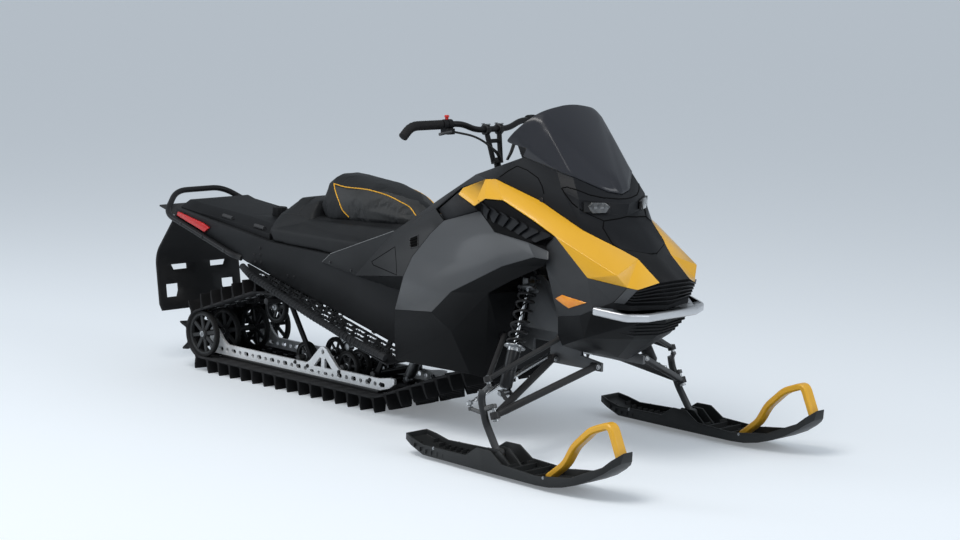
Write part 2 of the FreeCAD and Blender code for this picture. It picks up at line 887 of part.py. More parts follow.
shell_parts = {}
for name, facets in CENTRE_PANELS.items():
    solid = panel_solid(facets, shell_directions, panel_thick, both=True)
    if name in ("hood", "console"):
        solid = solid.cut(post_room)
    shell_parts[name] = solid
    keep(feature(name, solid))
for name, facets in SIDE_PANELS.items():
    for side_name, side in SIDES:
        solid = panel_solid(facets, shell_directions, panel_thick, side=side)
        if name == "lower_pan":
            # The suspension's upper arm passes through the pan's front wall.
            arm_foot = Vector(value("upper_rear_x"), side * 196, value("upper_pivot_z"))
            arm_end = Vector(value("upper_ball_x"), side * value("upper_ball_y"), value("upper_ball_z"))
            solid = solid.cut(round_path([arm_foot, arm_end], value("upper_tube_radius") + 6))
        shell_parts[f"{name}_{side_name}"] = solid
    group(f"{name}s", [shell_parts[f"{name}_{side_name}"] for side_name, side in SIDES])

# Windshield: one moulded sheet with a wing on each side, standing on the hood.
screen_lift = value("screen_lift")


def screen_inside(points):
    return Vector(value("post_x"), 0, value("post_z"))


screen_directions = shell_normals(SCREEN_FACETS, screen_inside)
screen = panel_solid(
    SCREEN_FACETS, screen_directions, value("screen_thick"), both=True, lift=screen_lift
)
keep(feature("windshield", screen))

# Tunnel: a folded channel, open below, kicked up at the rear.
tunnel_side = [
    (cell("tunnel_rear_x"), cell("tunnel_rear_z")),
    (cell("tunnel_knee_x"), cell("tunnel_knee_z")),
    (cell("board_rear_x") / 3, cell("tunnel_deck_z")),
    (cell("tunnel_front_x"), cell("tunnel_deck_z")),
    (cell("tunnel_front_x"), cell("tunnel_sill_z")),
    (cell("board_front_x"), cell("tunnel_sill_z")),
    (cell("board_rear_x"), cell("board_rear_z")),
    (cell("tunnel_rear_x") + 200, cell("tunnel_rear_z") - 92),
    (cell("tunnel_rear_x"), cell("tunnel_rear_z") - 40),
]
tunnel_inner = [
    (cell("tunnel_rear_x") - 50, cell("tunnel_rear_z") - cell("tunnel_sheet") + 6),
    (cell("tunnel_knee_x"), cell("tunnel_knee_z") - cell("tunnel_sheet")),
    (cell("board_rear_x") / 3, cell("tunnel_deck_z") - cell("tunnel_sheet")),
    (cell("tunnel_front_x") - cell("tunnel_sheet"), cell("tunnel_deck_z") - cell("tunnel_sheet")),
    (cell("tunnel_front_x") - cell("tunnel_sheet"), cell("tunnel_sill_z") - 50),
    (cell("tunnel_rear_x") - 50, cell("tunnel_sill_z") - 50),
]
tunnel = new_body("tunnel")
tunnel_outline = new_sketch(tunnel, "XZ_Plane")
outline(tunnel_outline, tunnel_side)
pad(tunnel, tunnel_outline, cell("tunnel_width"))
tunnel_hollow = new_sketch(tunnel, "XZ_Plane")
outline(tunnel_hollow, tunnel_inner)
pocket(tunnel, tunnel_hollow, cell("tunnel_width") - 2 * cell("tunnel_sheet"))
keep(tunnel)

# Seat base: the moulded skirt over the tunnel deck, rising to a bump behind the rider.
# Its side view is thickened across, then trimmed to a section that narrows upwards.
seat_base_block = new_body("seat_base_block")
seat_base_outline = new_sketch(seat_base_block, "XZ_Plane")
deck_top = cell("tunnel_deck_z")
outline(seat_base_outline, [
    (cell("seat_rear_x"), cell("tunnel_knee_z") + 30),
    (cell("seat_rear_x"), cell("seat_pan_z")),
    (cell("seat_bump_x"), cell("seat_bump_z")),
    (cell("seat_back_x"), cell("seat_bump_z") - 4),
    (cell("seat_back_x"), cell("seat_pan_z")),
    (cell("seat_front_x"), cell("seat_pan_z") + 14),
    (cell("seat_front_x"), cell("seat_pan_z") - 30),
    (cell("board_rear_x") / 3, deck_top),
    (cell("tunnel_knee_x"), cell("tunnel_knee_z")),
])
pad(seat_base_block, seat_base_outline, cell("seat_base_width"))
seat_base_form = new_body("seat_base_form")
seat_base_section = new_sketch(seat_base_form, "YZ_Plane", cell("seat_rear_x") / 2)
half_width = cell("seat_base_width") / 2
outline(seat_base_section, [
    (-half_width, deck_top),
    (half_width, deck_top),
    (half_width * 0.97, cell("seat_pan_z") - 60),
    (half_width * 0.45, cell("seat_bump_z") + 10),
    (-half_width * 0.45, cell("seat_bump_z") + 10),
    (-half_width * 0.97, cell("seat_pan_z") - 60),
])
pad(seat_base_form, seat_base_section, cell("seat_front_x") * 2 - cell("seat_rear_x") * 2)
keep(common("seat_base", [seat_base_block, seat_base_form]))

# Seat cushion: a closed soft solid, narrow in front, lofted through plain sections.
gap = value("seat_gap")
pan_rise = 14 / (value("seat_front_x") - value("seat_back_x"))


def pan_top(across):
    """Height just above the seat base's pan, which rises forwards."""
    return value("seat_pan_z") + gap + (across - value("seat_back_x")) * pan_rise


cushion_stations = (
    (value("seat_back_x") + gap, 62, 92, value("seat_bump_z") + 4, 60),
    (value("seat_back_x") + 14, 84, 108, value("seat_peak_z") - 26, 66),
    (value("seat_peak_x"), 120, 132, value("seat_peak_z"), 78),
    (value("seat_mid_x"), 140, 154, value("seat_mid_z"), 92),
    (value("seat_slope_x"), 104, 120, value("seat_slope_z"), 76),
    (value("seat_front_x"), 66, 84, value("seat_slope_z") - 32, 58),
)
cushion_rings = []
for across, low_half, wide_half, high, high_half in cushion_stations:
    low = pan_top(across)
    middle = low + (high - low) * 0.35
    cushion_rings.append([
        Vector(across, -low_half, low),
        Vector(across, -wide_half, middle),
        Vector(across, -high_half, high - 12),
        Vector(across, -high_half * 0.5, high),
        Vector(across, high_half * 0.5, high),
        Vector(across, high_half, high - 12),
        Vector(across, wide_half, middle),
        Vector(across, low_half, low),
    ])
keep(feature("seat_cushion", ringed_solid(cushion_rings)))


def across_pad(label, corners, width, offset=0.0):
    """A side-view outline thickened across the machine, centred at the offset to the left."""
    body = new_body(label)
    sketch = new_sketch(body, "XZ_Plane", -as_size(offset))
    outline(sketch, corners)
    pad(body, sketch, width)
    return body


# Rear deck cover: a shallow moulding on the tunnel, with a ring anchor let into its top.
def tunnel_top(across):
    """Height of the tunnel's deck behind its knee."""
    fall = value("tunnel_rear_z") - value("tunnel_knee_z")
    run = value("tunnel_knee_x") - value("tunnel_rear_x")
    return value("tunnel_rear_z") - fall * (across - value("tunnel_rear_x")) / run


deck_rear = value("tunnel_rear_x")
deck_wide = value("tunnel_width") / 2 - 24
anchor_x = value("anchor_rear_x")
deck_stations = (
    (deck_rear, deck_wide - 2, 6, deck_wide * 0.76, 32),
    (deck_rear + 60, deck_wide, 8, deck_wide * 0.7, 30),
    (anchor_x - 40, deck_wide, 20, deck_wide * 0.63, 42),
    (value("seat_rear_x") - 1, deck_wide, 24, deck_wide * 0.6, 44),
)
deck_rings = []
for across, wide, shoulder, narrow, height in deck_stations:
    low = tunnel_top(across)
    deck_rings.append([
        Vector(across, -wide, low), Vector(across, -wide, low + shoulder),
        Vector(across, -narrow, low + height), Vector(across, narrow, low + height),
        Vector(across, wide, low + shoulder), Vector(across, wide, low),
    ])
anchor_low = Vector(anchor_x, 0, tunnel_top(anchor_x) + 36)
anchor_height = value("anchor_height")
recess = bore_bar(value("anchor_radius") + gap, anchor_height, anchor_low - ALONG_Z * gap, ALONG_Z, 10)
keep(feature("cargo_deck", ringed_solid(deck_rings).cut(recess)))
anchor = round_bar(value("anchor_radius"), anchor_height, anchor_low, ALONG_Z, 10)
anchor = anchor.cut(Part.makeCylinder(value("anchor_hole"), anchor_height, anchor_low))
keep(feature("cargo_anchor", anchor))

# Rear bumper: one bent tube hoop from the tunnel's sides round the rear.
hoop = value("hoop_radius")
half_tunnel = value("tunnel_width") / 2
hoop_y = half_tunnel + hoop
hoop_points = [
    Vector(deck_rear + 434, 2 - half_tunnel, 508),
    Vector(deck_rear + 392, -hoop_y, 518),
    Vector(deck_rear - 54, -hoop_y, value("tunnel_rear_z") - 26),
    Vector(deck_rear - 138, -120, value("tunnel_rear_z") + 54),
]
hoop_points += [Vector(point.x, -point.y, point.z) for point in reversed(hoop_points)]
hoop_tube = round_path(hoop_points, hoop, 8, 55, 2)
doc.recompute()
keep(feature("rear_bumper", hoop_tube.cut(tunnel.Shape)))

# Snow flap: a moulded sheet that hangs from the tunnel's rear, bent in two places.
flap = new_body("snow_flap")
flap_side = new_sketch(flap, "XZ_Plane")
flap_thick = cell("flap_thick")
flap_skin = [
    (cell("tunnel_rear_x") - 0.3, cell("tunnel_rear_z") - 1),
    (cell("tunnel_rear_x") - 36, cell("tunnel_rear_z") - 56),
    (cell("flap_rear_x"), cell("tunnel_rear_z") - 210),
    (cell("flap_rear_x") + 32, cell("tunnel_rear_z") - 446),
]
flap_back = [(across - flap_thick, up) for across, up in reversed(flap_skin)]
outline(flap_side, flap_skin + flap_back)
pad(flap, flap_side, cell("flap_width"))
keep(flap)

# Tail lamps at the tunnel's rear corners.
lamps = []
for side_name, side in SIDES:
    lamps.append(across_pad(f"tail_lamp_{side_name}", [
        (cell("tunnel_rear_x") + along, cell("tunnel_rear_z") - below)
        for along, below in ((24, 12), (18, 28), (203, 78), (234, 58), (196, 44))
    ], 10, side * (cell("tunnel_width") / 2 + 5.3)))
keep(union("tail_lamps", lamps))

# Running boards: an inclined plate cut to its plan, with rows of openings, on an edge tube.
board_top = [
    (cell("board_rear_x"), cell("board_rear_z")),
    (cell("board_front_x"), cell("board_front_z")),
    (cell("board_front_x"), cell("board_front_z") + cell("board_thick")),
    (cell("board_rear_x"), cell("board_rear_z") + cell("board_thick")),
]
# The edge tube's line: share of the board's length, share of its width, and its lift.
board_edge = (
    (0.006, 0.656, -14), (0.123, 0.79, -5), (0.305, 0.88, 6), (0.549, 0.955, 10),
    (0.766, 1.0, 16), (0.95, 0.972, 16),
)
board_pieces = []
for side_name, side in SIDES:
    inner = cell("tunnel_width") / 2
    outer = cell("board_outer_y")
    slab = across_pad(f"board_slab_{side_name}", board_top, 900)
    plan = new_body(f"board_plan_{side_name}")
    plan_sketch = new_sketch(plan, "XY_Plane", 400)
    outline(plan_sketch, [
        (cell("board_rear_x"), side * inner),
        (cell("board_front_x") - 40, side * inner),
        (cell("board_front_x") - 40, side * outer),
        (cell("board_front_x") - 250, side * outer),
        (cell("board_rear_x") + 430, side * (outer - 26)),
        (cell("board_rear_x") + 130, side * (inner + 76)),
    ])
    pad(plan, plan_sketch, 900)
    holes = new_body(f"board_holes_{side_name}")
    hole_sketch = new_sketch(holes, "XY_Plane", 400)
    for row in range(3):
        for column in range(5 if row < 2 else 3):
            left = cell("board_rear_x") + 340 + (column + row // 2) * 120 + row * 16
            low = side * (inner + 22 + row * 40)
            high = side * (inner + 48 + row * 40)
            outline(hole_sketch, [(left, low), (left + 92, low), (left + 92, high), (left, high)])
    pad(holes, hole_sketch, 900)
    plate = cut(f"board_plate_{side_name}", common(f"board_blank_{side_name}", [slab, plan]), holes)
    tube_points = []
    for share, wide, lift in board_edge:
        along = value("board_rear_x") + share * (value("board_front_x") - value("board_rear_x"))
        up = value("board_rear_z") + share * (value("board_front_z") - value("board_rear_z"))
        tube_points.append(Vector(along, side * wide * value("board_outer_y"), up + lift))
    rim = round_rod(f"board_rim_{side_name}", tube_points, value("board_tube_radius"), 90, 6, 1)
    board_pieces += [plate, rim]
keep(union("running_boards", board_pieces))


# Track: the belt's inner line is a loop of lines and arcs round four rollers.
def roller(across, up, radius):
    return Vector(across, up, 0), radius


def outer_tangent(first, second):
    """Tangent points of the line that passes outside two rollers, with both on its left."""
    (first_centre, first_radius), (second_centre, second_radius) = first, second
    way = second_centre - first_centre
    length = way.Length
    turn = math.asin((first_radius - second_radius) / length)
    angle = math.atan2(way.y, way.x) - math.pi / 2 + turn
    away = Vector(math.cos(angle), math.sin(angle), 0)
    return first_centre + away * first_radius, second_centre + away * second_radius


def loop_wire(rollers, out):
    """The belt line round the rollers, anticlockwise, moved outwards by a distance."""
    grown = [(centre, radius + out) for centre, radius in rollers]
    count = len(grown)
    lines = [outer_tangent(grown[index], grown[(index + 1) % count]) for index in range(count)]
    edges = []
    for index in range(count):
        centre, radius = grown[index]
        arrive = lines[index - 1][1]
        leave = lines[index][0]
        start = math.atan2(arrive.y - centre.y, arrive.x - centre.x)
        end = math.atan2(leave.y - centre.y, leave.x - centre.x)
        if end < start:
            end += 2 * math.pi
        middle = centre + Vector(math.cos((start + end) / 2), math.sin((start + end) / 2), 0) * radius
        edges.append((arrive, middle, leave, lines[index][1]))
    return edges


def upright(point):
    """A point of the side view, standing in the XZ plane."""
    return Vector(point.x, 0, point.y)


def loop_face(rollers, out):
    shapes = []
    for arrive, middle, leave, far in loop_wire(rollers, out):
        shapes.append(Part.Arc(upright(arrive), upright(middle), upright(leave)).toShape())
        shapes.append(Part.LineSegment(upright(leave), upright(far)).toShape())
    return Part.Face(Part.Wire(shapes))


belt_low = value("lug_height") + value("belt_thick")
ramp = value("ramp_radius")
rollers = [
    roller(value("rear_wheel_x"), belt_low + value("rear_wheel_radius"), value("rear_wheel_radius")),
    roller(value("rail_tip_x") - 80, belt_low + ramp, ramp),
    roller(value("drive_x"), value("drive_z"), value("sprocket_radius")),
    roller(value("carrier_x"), value("carrier_z"), value("carrier_radius")),
]
half_track = value("track_width") / 2
belt_face = loop_face(rollers, value("belt_thick")).cut(loop_face(rollers, 0))
belt = belt_face.extrude(ALONG_Y * value("track_width"))
belt.translate(ALONG_Y * -half_track)


def loop_places(rollers, out, count):
    """Points evenly spaced along the loop, each with its outward direction."""
    runs = []
    for index, (arrive, middle, leave, far) in enumerate(loop_wire(rollers, out)):
        centre, radius = rollers[index]
        runs.append(("arc", centre, radius + out, arrive, leave))
        runs.append(("line", leave, far, None, None))
    lengths = []
    for kind, first, second, arrive, leave in runs:
        if kind == "line":
            lengths.append((second - first).Length)
            continue
        start = math.atan2(arrive.y - first.y, arrive.x - first.x)
        end = math.atan2(leave.y - first.y, leave.x - first.x)
        if end < start:
            end += 2 * math.pi
        lengths.append((end - start) * second)
    total = sum(lengths)
    places = []
    for step in range(count):
        rest = total * (step + 0.5) / count
        for (kind, first, second, arrive, leave), length in zip(runs, lengths):
            if rest > length:
                rest -= length
                continue
            if kind == "line":
                way = (second - first).normalize()
                places.append((first + way * rest, Vector(way.y, -way.x, 0)))
            else:
                angle = math.atan2(arrive.y - first.y, arrive.x - first.x) + rest / second
                away = Vector(math.cos(angle), math.sin(angle), 0)
                places.append((first + away * second, away))
            break
    return places


lug_places = loop_places(rollers, value("belt_thick"), int(value("lug_count")))
lugs = []
lug_height = value("lug_height")
lug_half = value("lug_thick") / 2
for place, away in lug_places:
    along = Vector(-away.y, away.x, 0)
    foot = place - away * (value("belt_thick") / 2)
    tip = place + away * lug_height
    corners = [
        foot - along * lug_half * 1.6,
        foot + along * lug_half * 1.6,
        tip + along * lug_half * 0.7,
        tip - along * lug_half * 0.7,
    ]
    corners = [upright(point) for point in corners]
    profile = Part.Face(Part.makePolygon(corners + corners[:1]))
    lug = profile.extrude(ALONG_Y * value("track_width"))
    lug.translate(ALONG_Y * -half_track)
    lugs.append(lug)
keep(feature("track", belt.fuse(lugs).removeSplitter()))

# Rails with their towers, and the slide shoes under them.
rail_low = cell("lug_height") + cell("belt_thick") + cell("shoe_thick")
rail_high = rail_low + cell("rail_height")
tower_x = cell("tower_x")
rails = []
for side_name, side in SIDES:
    rail = new_body(f"rail_{side_name}")
    rail_sketch = new_sketch(rail, "XZ_Plane", -side * cell("rail_y"))
    outline(rail_sketch, [
        (cell("rear_wheel_x") - 30, rail_low + 20),
        (cell("rear_wheel_x") + 10, rail_low),
        (cell("rail_tip_x") - 80, rail_low),
        (cell("rail_tip_x"), rail_low + 32),
        (cell("rail_tip_x"), rail_low + 56),
        (cell("rail_tip_x") - 90, rail_high),
        (tower_x + 96, rail_high),
        (tower_x + 14, rail_high + cell("tower_height")),
        (tower_x - 14, rail_high + cell("tower_height")),
        (tower_x - 96, rail_high),
        (cell("rear_wheel_x") + 90, rail_high),
        (cell("rear_wheel_x") + 24, rail_high + 62),
        (cell("rear_wheel_x") - 24, rail_high + 62),
    ])
    pad(rail, rail_sketch, cell("rail_thick"))
    window = new_sketch(rail, "XZ_Plane", -side * cell("rail_y"))
    outline(window, [
        (tower_x - 52, rail_high - 6),
        (tower_x + 52, rail_high - 6),
        (tower_x + 6, rail_high + cell("tower_height") - 30),
        (tower_x - 6, rail_high + cell("tower_height") - 30),
    ])
    pocket(rail, window, cell("rail_thick") * 2)
    holes = []
    for step in range(8):
        hole_at = Vector(
            value("rear_wheel_x") + 150 + step * 118, side * value("rail_y") - 20, rail_low.value + 20
        )
        holes.append(bore_bar(9, 40, hole_at, ALONG_Y, 6))
    tools = feature(f"rail_holes_{side_name}", Part.makeCompound(holes))
    rails.append(cut(f"rail_drilled_{side_name}", rail, tools))
keep(union("rails", rails))
shoes = [
    across_pad(f"slide_shoe_{side_name}", [
        (cell("rear_wheel_x") + 60, rail_low - 0.3),
        (cell("rear_wheel_x") + 60, rail_low - cell("shoe_thick") + 0.3),
        (cell("rail_tip_x") - 84, rail_low - cell("shoe_thick") + 0.3),
        (cell("rail_tip_x") - 84, rail_low - 0.3),
    ], cell("rail_thick") + 14, side * cell("rail_y"))
    for side_name, side in SIDES
]
keep(union("slide_shoes", shoes))


def wheel(across, up, radius, width, sideways, recessed=False):
    """A roller, with a recessed web on its outer face where it shows."""
    centre = Vector(across, sideways, up)
    solid = round_bar(radius, width, centre - ALONG_Y * (width / 2), ALONG_Y, 14)
    if recessed:
        depth = width * 0.4
        start = centre + ALONG_Y * math.copysign(width / 2 - depth, sideways)
        way = ALONG_Y * math.copysign(1, sideways)
        solid = solid.cut(round_bar(radius * 0.78, depth, start, way, 10))
    return solid


# Rear axle with four wheels.
axle_z = belt_low + value("rear_wheel_radius")
wheel_width = value("rear_wheel_width")
axle_reach = value("rear_wheel_y") + wheel_width / 2 + 6
rear_wheels = []
for reach in (value("rear_wheel_y"), value("rear_wheel_inner_y")):
    for side in (-1, 1):
        rear_wheels.append(wheel(
            value("rear_wheel_x"), axle_z, value("rear_wheel_radius") - 0.3,
            wheel_width, side * reach, reach > value("rail_y"),
        ))
rear_axle = round_bar(
    value("axle_radius"), 2 * axle_reach, Vector(value("rear_wheel_x"), -axle_reach, axle_z), ALONG_Y
)
for solid in rear_wheels:
    rear_axle = rear_axle.fuse(solid)
doc.recompute()
for thing in rails:
    rear_axle = rear_axle.cut(thing.Shape)
keep(feature("rear_axle", rear_axle))

# Idler wheels on the rails, and the suspension arms and shocks inside the track.
idler_radius = value("idler_radius")
idler_z = belt_low + idler_radius
idler_reach = value("rail_y") + value("rail_thick") / 2
idlers = []
for along, reaches in (
    (value("front_idler_x"), (value("front_idler_y"), value("front_idler_inner_y"))),
    (value("rear_idler_x"), (value("rear_idler_y"),)),
):
    solid = round_bar(
        value("axle_radius"), 2 * idler_reach, Vector(along, -idler_reach, idler_z), ALONG_Y
    )
    for reach in reaches:
        for side in (-1, 1):
            solid = solid.fuse(wheel(
                along, idler_z, idler_radius - 0.3, value("idler_width"), side * reach, True,
            ))
    for thing in rails:
        solid = solid.cut(thing.Shape)
    idlers.append(solid)
carrier = round_bar(
    value("axle_radius"), 2 * half_tunnel - 2 * value("tunnel_sheet"),
    Vector(value("carrier_x"), value("tunnel_sheet") - half_tunnel, value("carrier_z")), ALONG_Y,
)
for side in (-1, 1):
    carrier = carrier.fuse(wheel(
        value("carrier_x"), value("carrier_z"), value("carrier_radius") - 0.3,
        value("idler_width"), side * 90,
    ))
keep(feature("idler_wheels", Part.makeCompound(idlers)))
keep(feature("carrier_wheels", carrier))

# Drive axle with two sprockets, carried by the tunnel's sides.
drive_reach = half_tunnel - value("tunnel_sheet")
drive = round_bar(
    value("axle_radius") + 4, 2 * drive_reach,
    Vector(value("drive_x"), -drive_reach, value("drive_z")), ALONG_Y,
)
for side in (-1, 1):
    start = Vector(value("drive_x"), side * 70 - 18, value("drive_z"))
    drive = drive.fuse(round_bar(value("sprocket_radius") - 0.3, 36, start, ALONG_Y))
keep(feature("drive_axle", drive))


def strut(points, radius, sides=6):
    """Straight round runs between points, mitred where they turn."""
    return round_path(points, radius, sides)


def arm_frame(label, top, foot, half_top, half_foot, radius):
    """A swing arm: a cross tube at each end and two tubes between them."""
    solid = strut([top - ALONG_Y * half_top, top + ALONG_Y * half_top], radius)
    solid = solid.fuse(strut([foot - ALONG_Y * half_foot, foot + ALONG_Y * half_foot], radius))
    for side in (-1, 1):
        reach = side * (min(half_top, half_foot) - 24)
        solid = solid.fuse(strut([top + ALONG_Y * reach, foot + ALONG_Y * reach], radius * 0.8))
    return keep(feature(label, solid.removeSplitter()))


rail_inside = value("rail_y") - value("rail_thick") / 2 - 0.3
tunnel_inside = half_tunnel - value("tunnel_sheet") - 0.3
arm_radius = value("arm_radius")
for name, foot_lift in (("front", 6), ("rear", -14)):
    head = Vector(value(f"{name}_arm_top_x"), 0, value(f"{name}_arm_top_z"))
    foot = Vector(value(f"{name}_arm_foot_x"), 0, rail_high.value + foot_lift)
    arm_frame(f"{name}_swing_arm", head, foot, tunnel_inside, rail_inside, arm_radius)


def damper(top, foot, body_radius, rod_radius, eye_radius, body_share=0.5):
    """A telescopic damper: eyes at both ends, a body at the foot and a rod at the top."""
    way = foot - top
    length = way.Length
    way.normalize()
    solid = round_bar(rod_radius, length * (1 - body_share), top, way, 6)
    start = top + way * (length * (1 - body_share))
    solid = solid.fuse(round_bar(body_radius, length * body_share - eye_radius, start, way))
    for point in (top, foot):
        eye = round_bar(eye_radius, 22, point - ALONG_Y * 11, ALONG_Y)
        solid = solid.fuse(eye)
    return solid


def coil(top, foot, radius, wire, turns):
    """A helical spring between two points."""
    way = foot - top
    length = way.Length
    way.normalize()
    across = way.cross(ALONG_Y).normalize()
    sideways = way.cross(across)
    around = 6
    points = []
    for step in range(turns * around + 1):
        angle = 2 * math.pi * step / around
        out = across * math.cos(angle) + sideways * math.sin(angle)
        points.append(top + out * radius + way * (length * step / (turns * around)))
    return round_path(points, wire, 4)


def block(x0, x1, y0, y1, z0, z1):
    """A plain block between two corners, as a shape."""
    low = Vector(min(x0, x1), min(y0, y1), min(z0, z1))
    return Part.makeBox(abs(x1 - x0), abs(y1 - y0), abs(z1 - z0), low)


def side_plate(corners, y0, y1):
    """A plate cut to a side-view outline, between two distances from the centre plane."""
    points = [Vector(across, y0, up) for across, up in corners]
    face = Part.Face(Part.makePolygon(points + points[:1]))
    return face.extrude(ALONG_Y * (y1 - y0))


# Two shocks inside the track, each on a cross shaft above and below.
track_shocks = []
for name, foot_x, foot_lift in (
    ("rear", value("tower_x"), 60), ("front", value("front_shock_foot_x"), -20)
):
    top = Vector(value(f"{name}_shock_top_x"), 0, value(f"{name}_shock_top_z"))
    foot = Vector(foot_x, 0, rail_high.value + foot_lift)
    shock = damper(top, foot, 20, 8, 15, 0.5)
    shock = shock.fuse(round_bar(10, 2 * tunnel_inside, top - ALONG_Y * tunnel_inside, ALONG_Y, 8))
    shock = shock.fuse(round_bar(10, 2 * rail_inside, foot - ALONG_Y * rail_inside, ALONG_Y, 8))
    track_shocks.append(shock)
group("track_shocks", track_shocks)

# Front frame: the cradle for the arms, a tower on each side for the ski shocks, and the
# tubes from the towers and the tunnel to the steering post's bearing.
clear = 0.3
pivot_y = value("lower_pivot_y")
upper_y = value("upper_pivot_y")
frame_top = value("upper_pivot_z") + 20
frame_low = value("lower_pivot_z") - 18
wall = 10
upper_rear = value("upper_rear_x")
upper_front = value("upper_front_x")
lower_front = value("lower_front_x")
lower_rear = value("lower_rear_x")
top_x = value("shock_top_x")
top_z = value("shock_top_z")
tower_y = value("shock_top_y") - 46
lug_radius = 16
frame_rear = value("tunnel_front_x") + clear
frame = block(
    frame_rear, upper_front + 14, wall - tower_y, tower_y - wall, frame_top - wall, frame_top
)
wall_corners = [
    (frame_rear, frame_top - wall),
    (frame_rear, frame_low + 60),
    (lower_rear - 20, frame_low),
    (lower_front + 18, frame_low),
    (lower_front + 18, frame_low + 30),
    (upper_front + 14, frame_low + 44),
    (upper_front + 14, frame_top - wall),
]
tower_corners = [
    (upper_rear + 66, frame_top - wall),
    (upper_front + 2, frame_top - wall),
    (upper_front - 16, frame_top + 18),
    (top_x + 48, top_z + 2),
    (top_x + 20, top_z + 22),
    (top_x - 20, top_z + 22),
    (top_x - 36, top_z),
]
for side in (-1, 1):
    frame = frame.fuse(side_plate(wall_corners, side * (pivot_y - wall), side * pivot_y))
    frame = frame.fuse(side_plate(tower_corners, side * (tower_y - 14), side * tower_y))
    for along in (upper_rear, upper_front):
        lug_at = Vector(along - 13, side * (upper_y - 4), value("upper_pivot_z"))
        frame = frame.fuse(round_bar(lug_radius, 26, lug_at, ALONG_X, 6))
    pin_at = Vector(top_x, side * (tower_y - 2), top_z)
    frame = frame.fuse(round_bar(6, 64, pin_at, ALONG_Y * side, 8))
for along in (upper_rear - 22, upper_front + 4):
    frame = frame.fuse(block(along, along + wall, -pivot_y, pivot_y, frame_top - 60, frame_top - wall))
# The cradle's sides are open where the tie rods pass.
for side in (-1, 1):
    frame = frame.cut(block(
        value("rod_inner_x") - 34, value("rod_inner_x") + 46, side * (pivot_y - wall - 1),
        side * (pivot_y + 1), frame_low - 5, frame_low + 72,
    ))
sleeve_low = post_top - post_way * 150
frame = frame.fuse(round_bar(post_radius + 9, 40, sleeve_low, post_way, 10))
for side in (-1, 1):
    tower_head = Vector(top_x - 8, side * (tower_y - 8), top_z + 8)
    frame = frame.fuse(strut([sleeve_low + post_way * 20, tower_head], 9))
    deck_foot = Vector(value("drive_x") + 60, side * 120, value("tunnel_deck_z") + 12)
    frame = frame.fuse(strut([sleeve_low + post_way * 12, deck_foot], 9))
frame = frame.cut(bore_bar(post_radius + clear, 60, sleeve_low - post_way * 10, post_way, 12))


def towards(side, alias):
    """A named point of the suspension on one side."""
    return Vector(value(f"{alias}_x"), side * value(f"{alias}_y"), value(f"{alias}_z"))


# Steering arm: hangs from the cradle's top and carries the tie rods' inner ends.
kingpins = {}
for side in (-1, 1):
    kingpins[side] = (towards(side, "upper_ball") - towards(side, "lower_ball")).normalize()
arm_axis = Vector(kingpins[1].x, 0, kingpins[1].z).normalize()
arm_reach = towards(-1, "steer_ball") - towards(-1, "lower_ball")
arm_reach -= kingpins[-1] * arm_reach.dot(kingpins[-1])
rod_inner = Vector(value("rod_inner_x"), 0, value("rod_inner_z"))
hub = Vector(rod_inner.x - arm_reach.x, 0, rod_inner.z)
hub_low = hub - arm_axis * 38
swing = round_bar(14, 144, hub_low, arm_axis)
crossbar = rod_inner - arm_axis * 28
swing = swing.fuse(strut([hub - arm_axis * 28, crossbar], 9))
bar_half = ALONG_Y * (value("rod_inner_y") + 6)
swing = swing.fuse(strut([crossbar - bar_half, crossbar + bar_half], 9))
keep(feature("steering_arm", swing.removeSplitter()))
frame = frame.fuse(round_bar(24, 30, hub + arm_axis * 78, arm_axis, 12))
frame = frame.cut(bore_bar(14 + clear, 120, hub + arm_axis * 30, arm_axis, 12))
keep(feature("front_frame", frame.removeSplitter()))

# Engine: one plain block on the cradle.
keep(feature("engine_block", block(
    upper_rear - 38, upper_rear + 120, -94, 94, frame_top + clear, frame_top + 240
)))

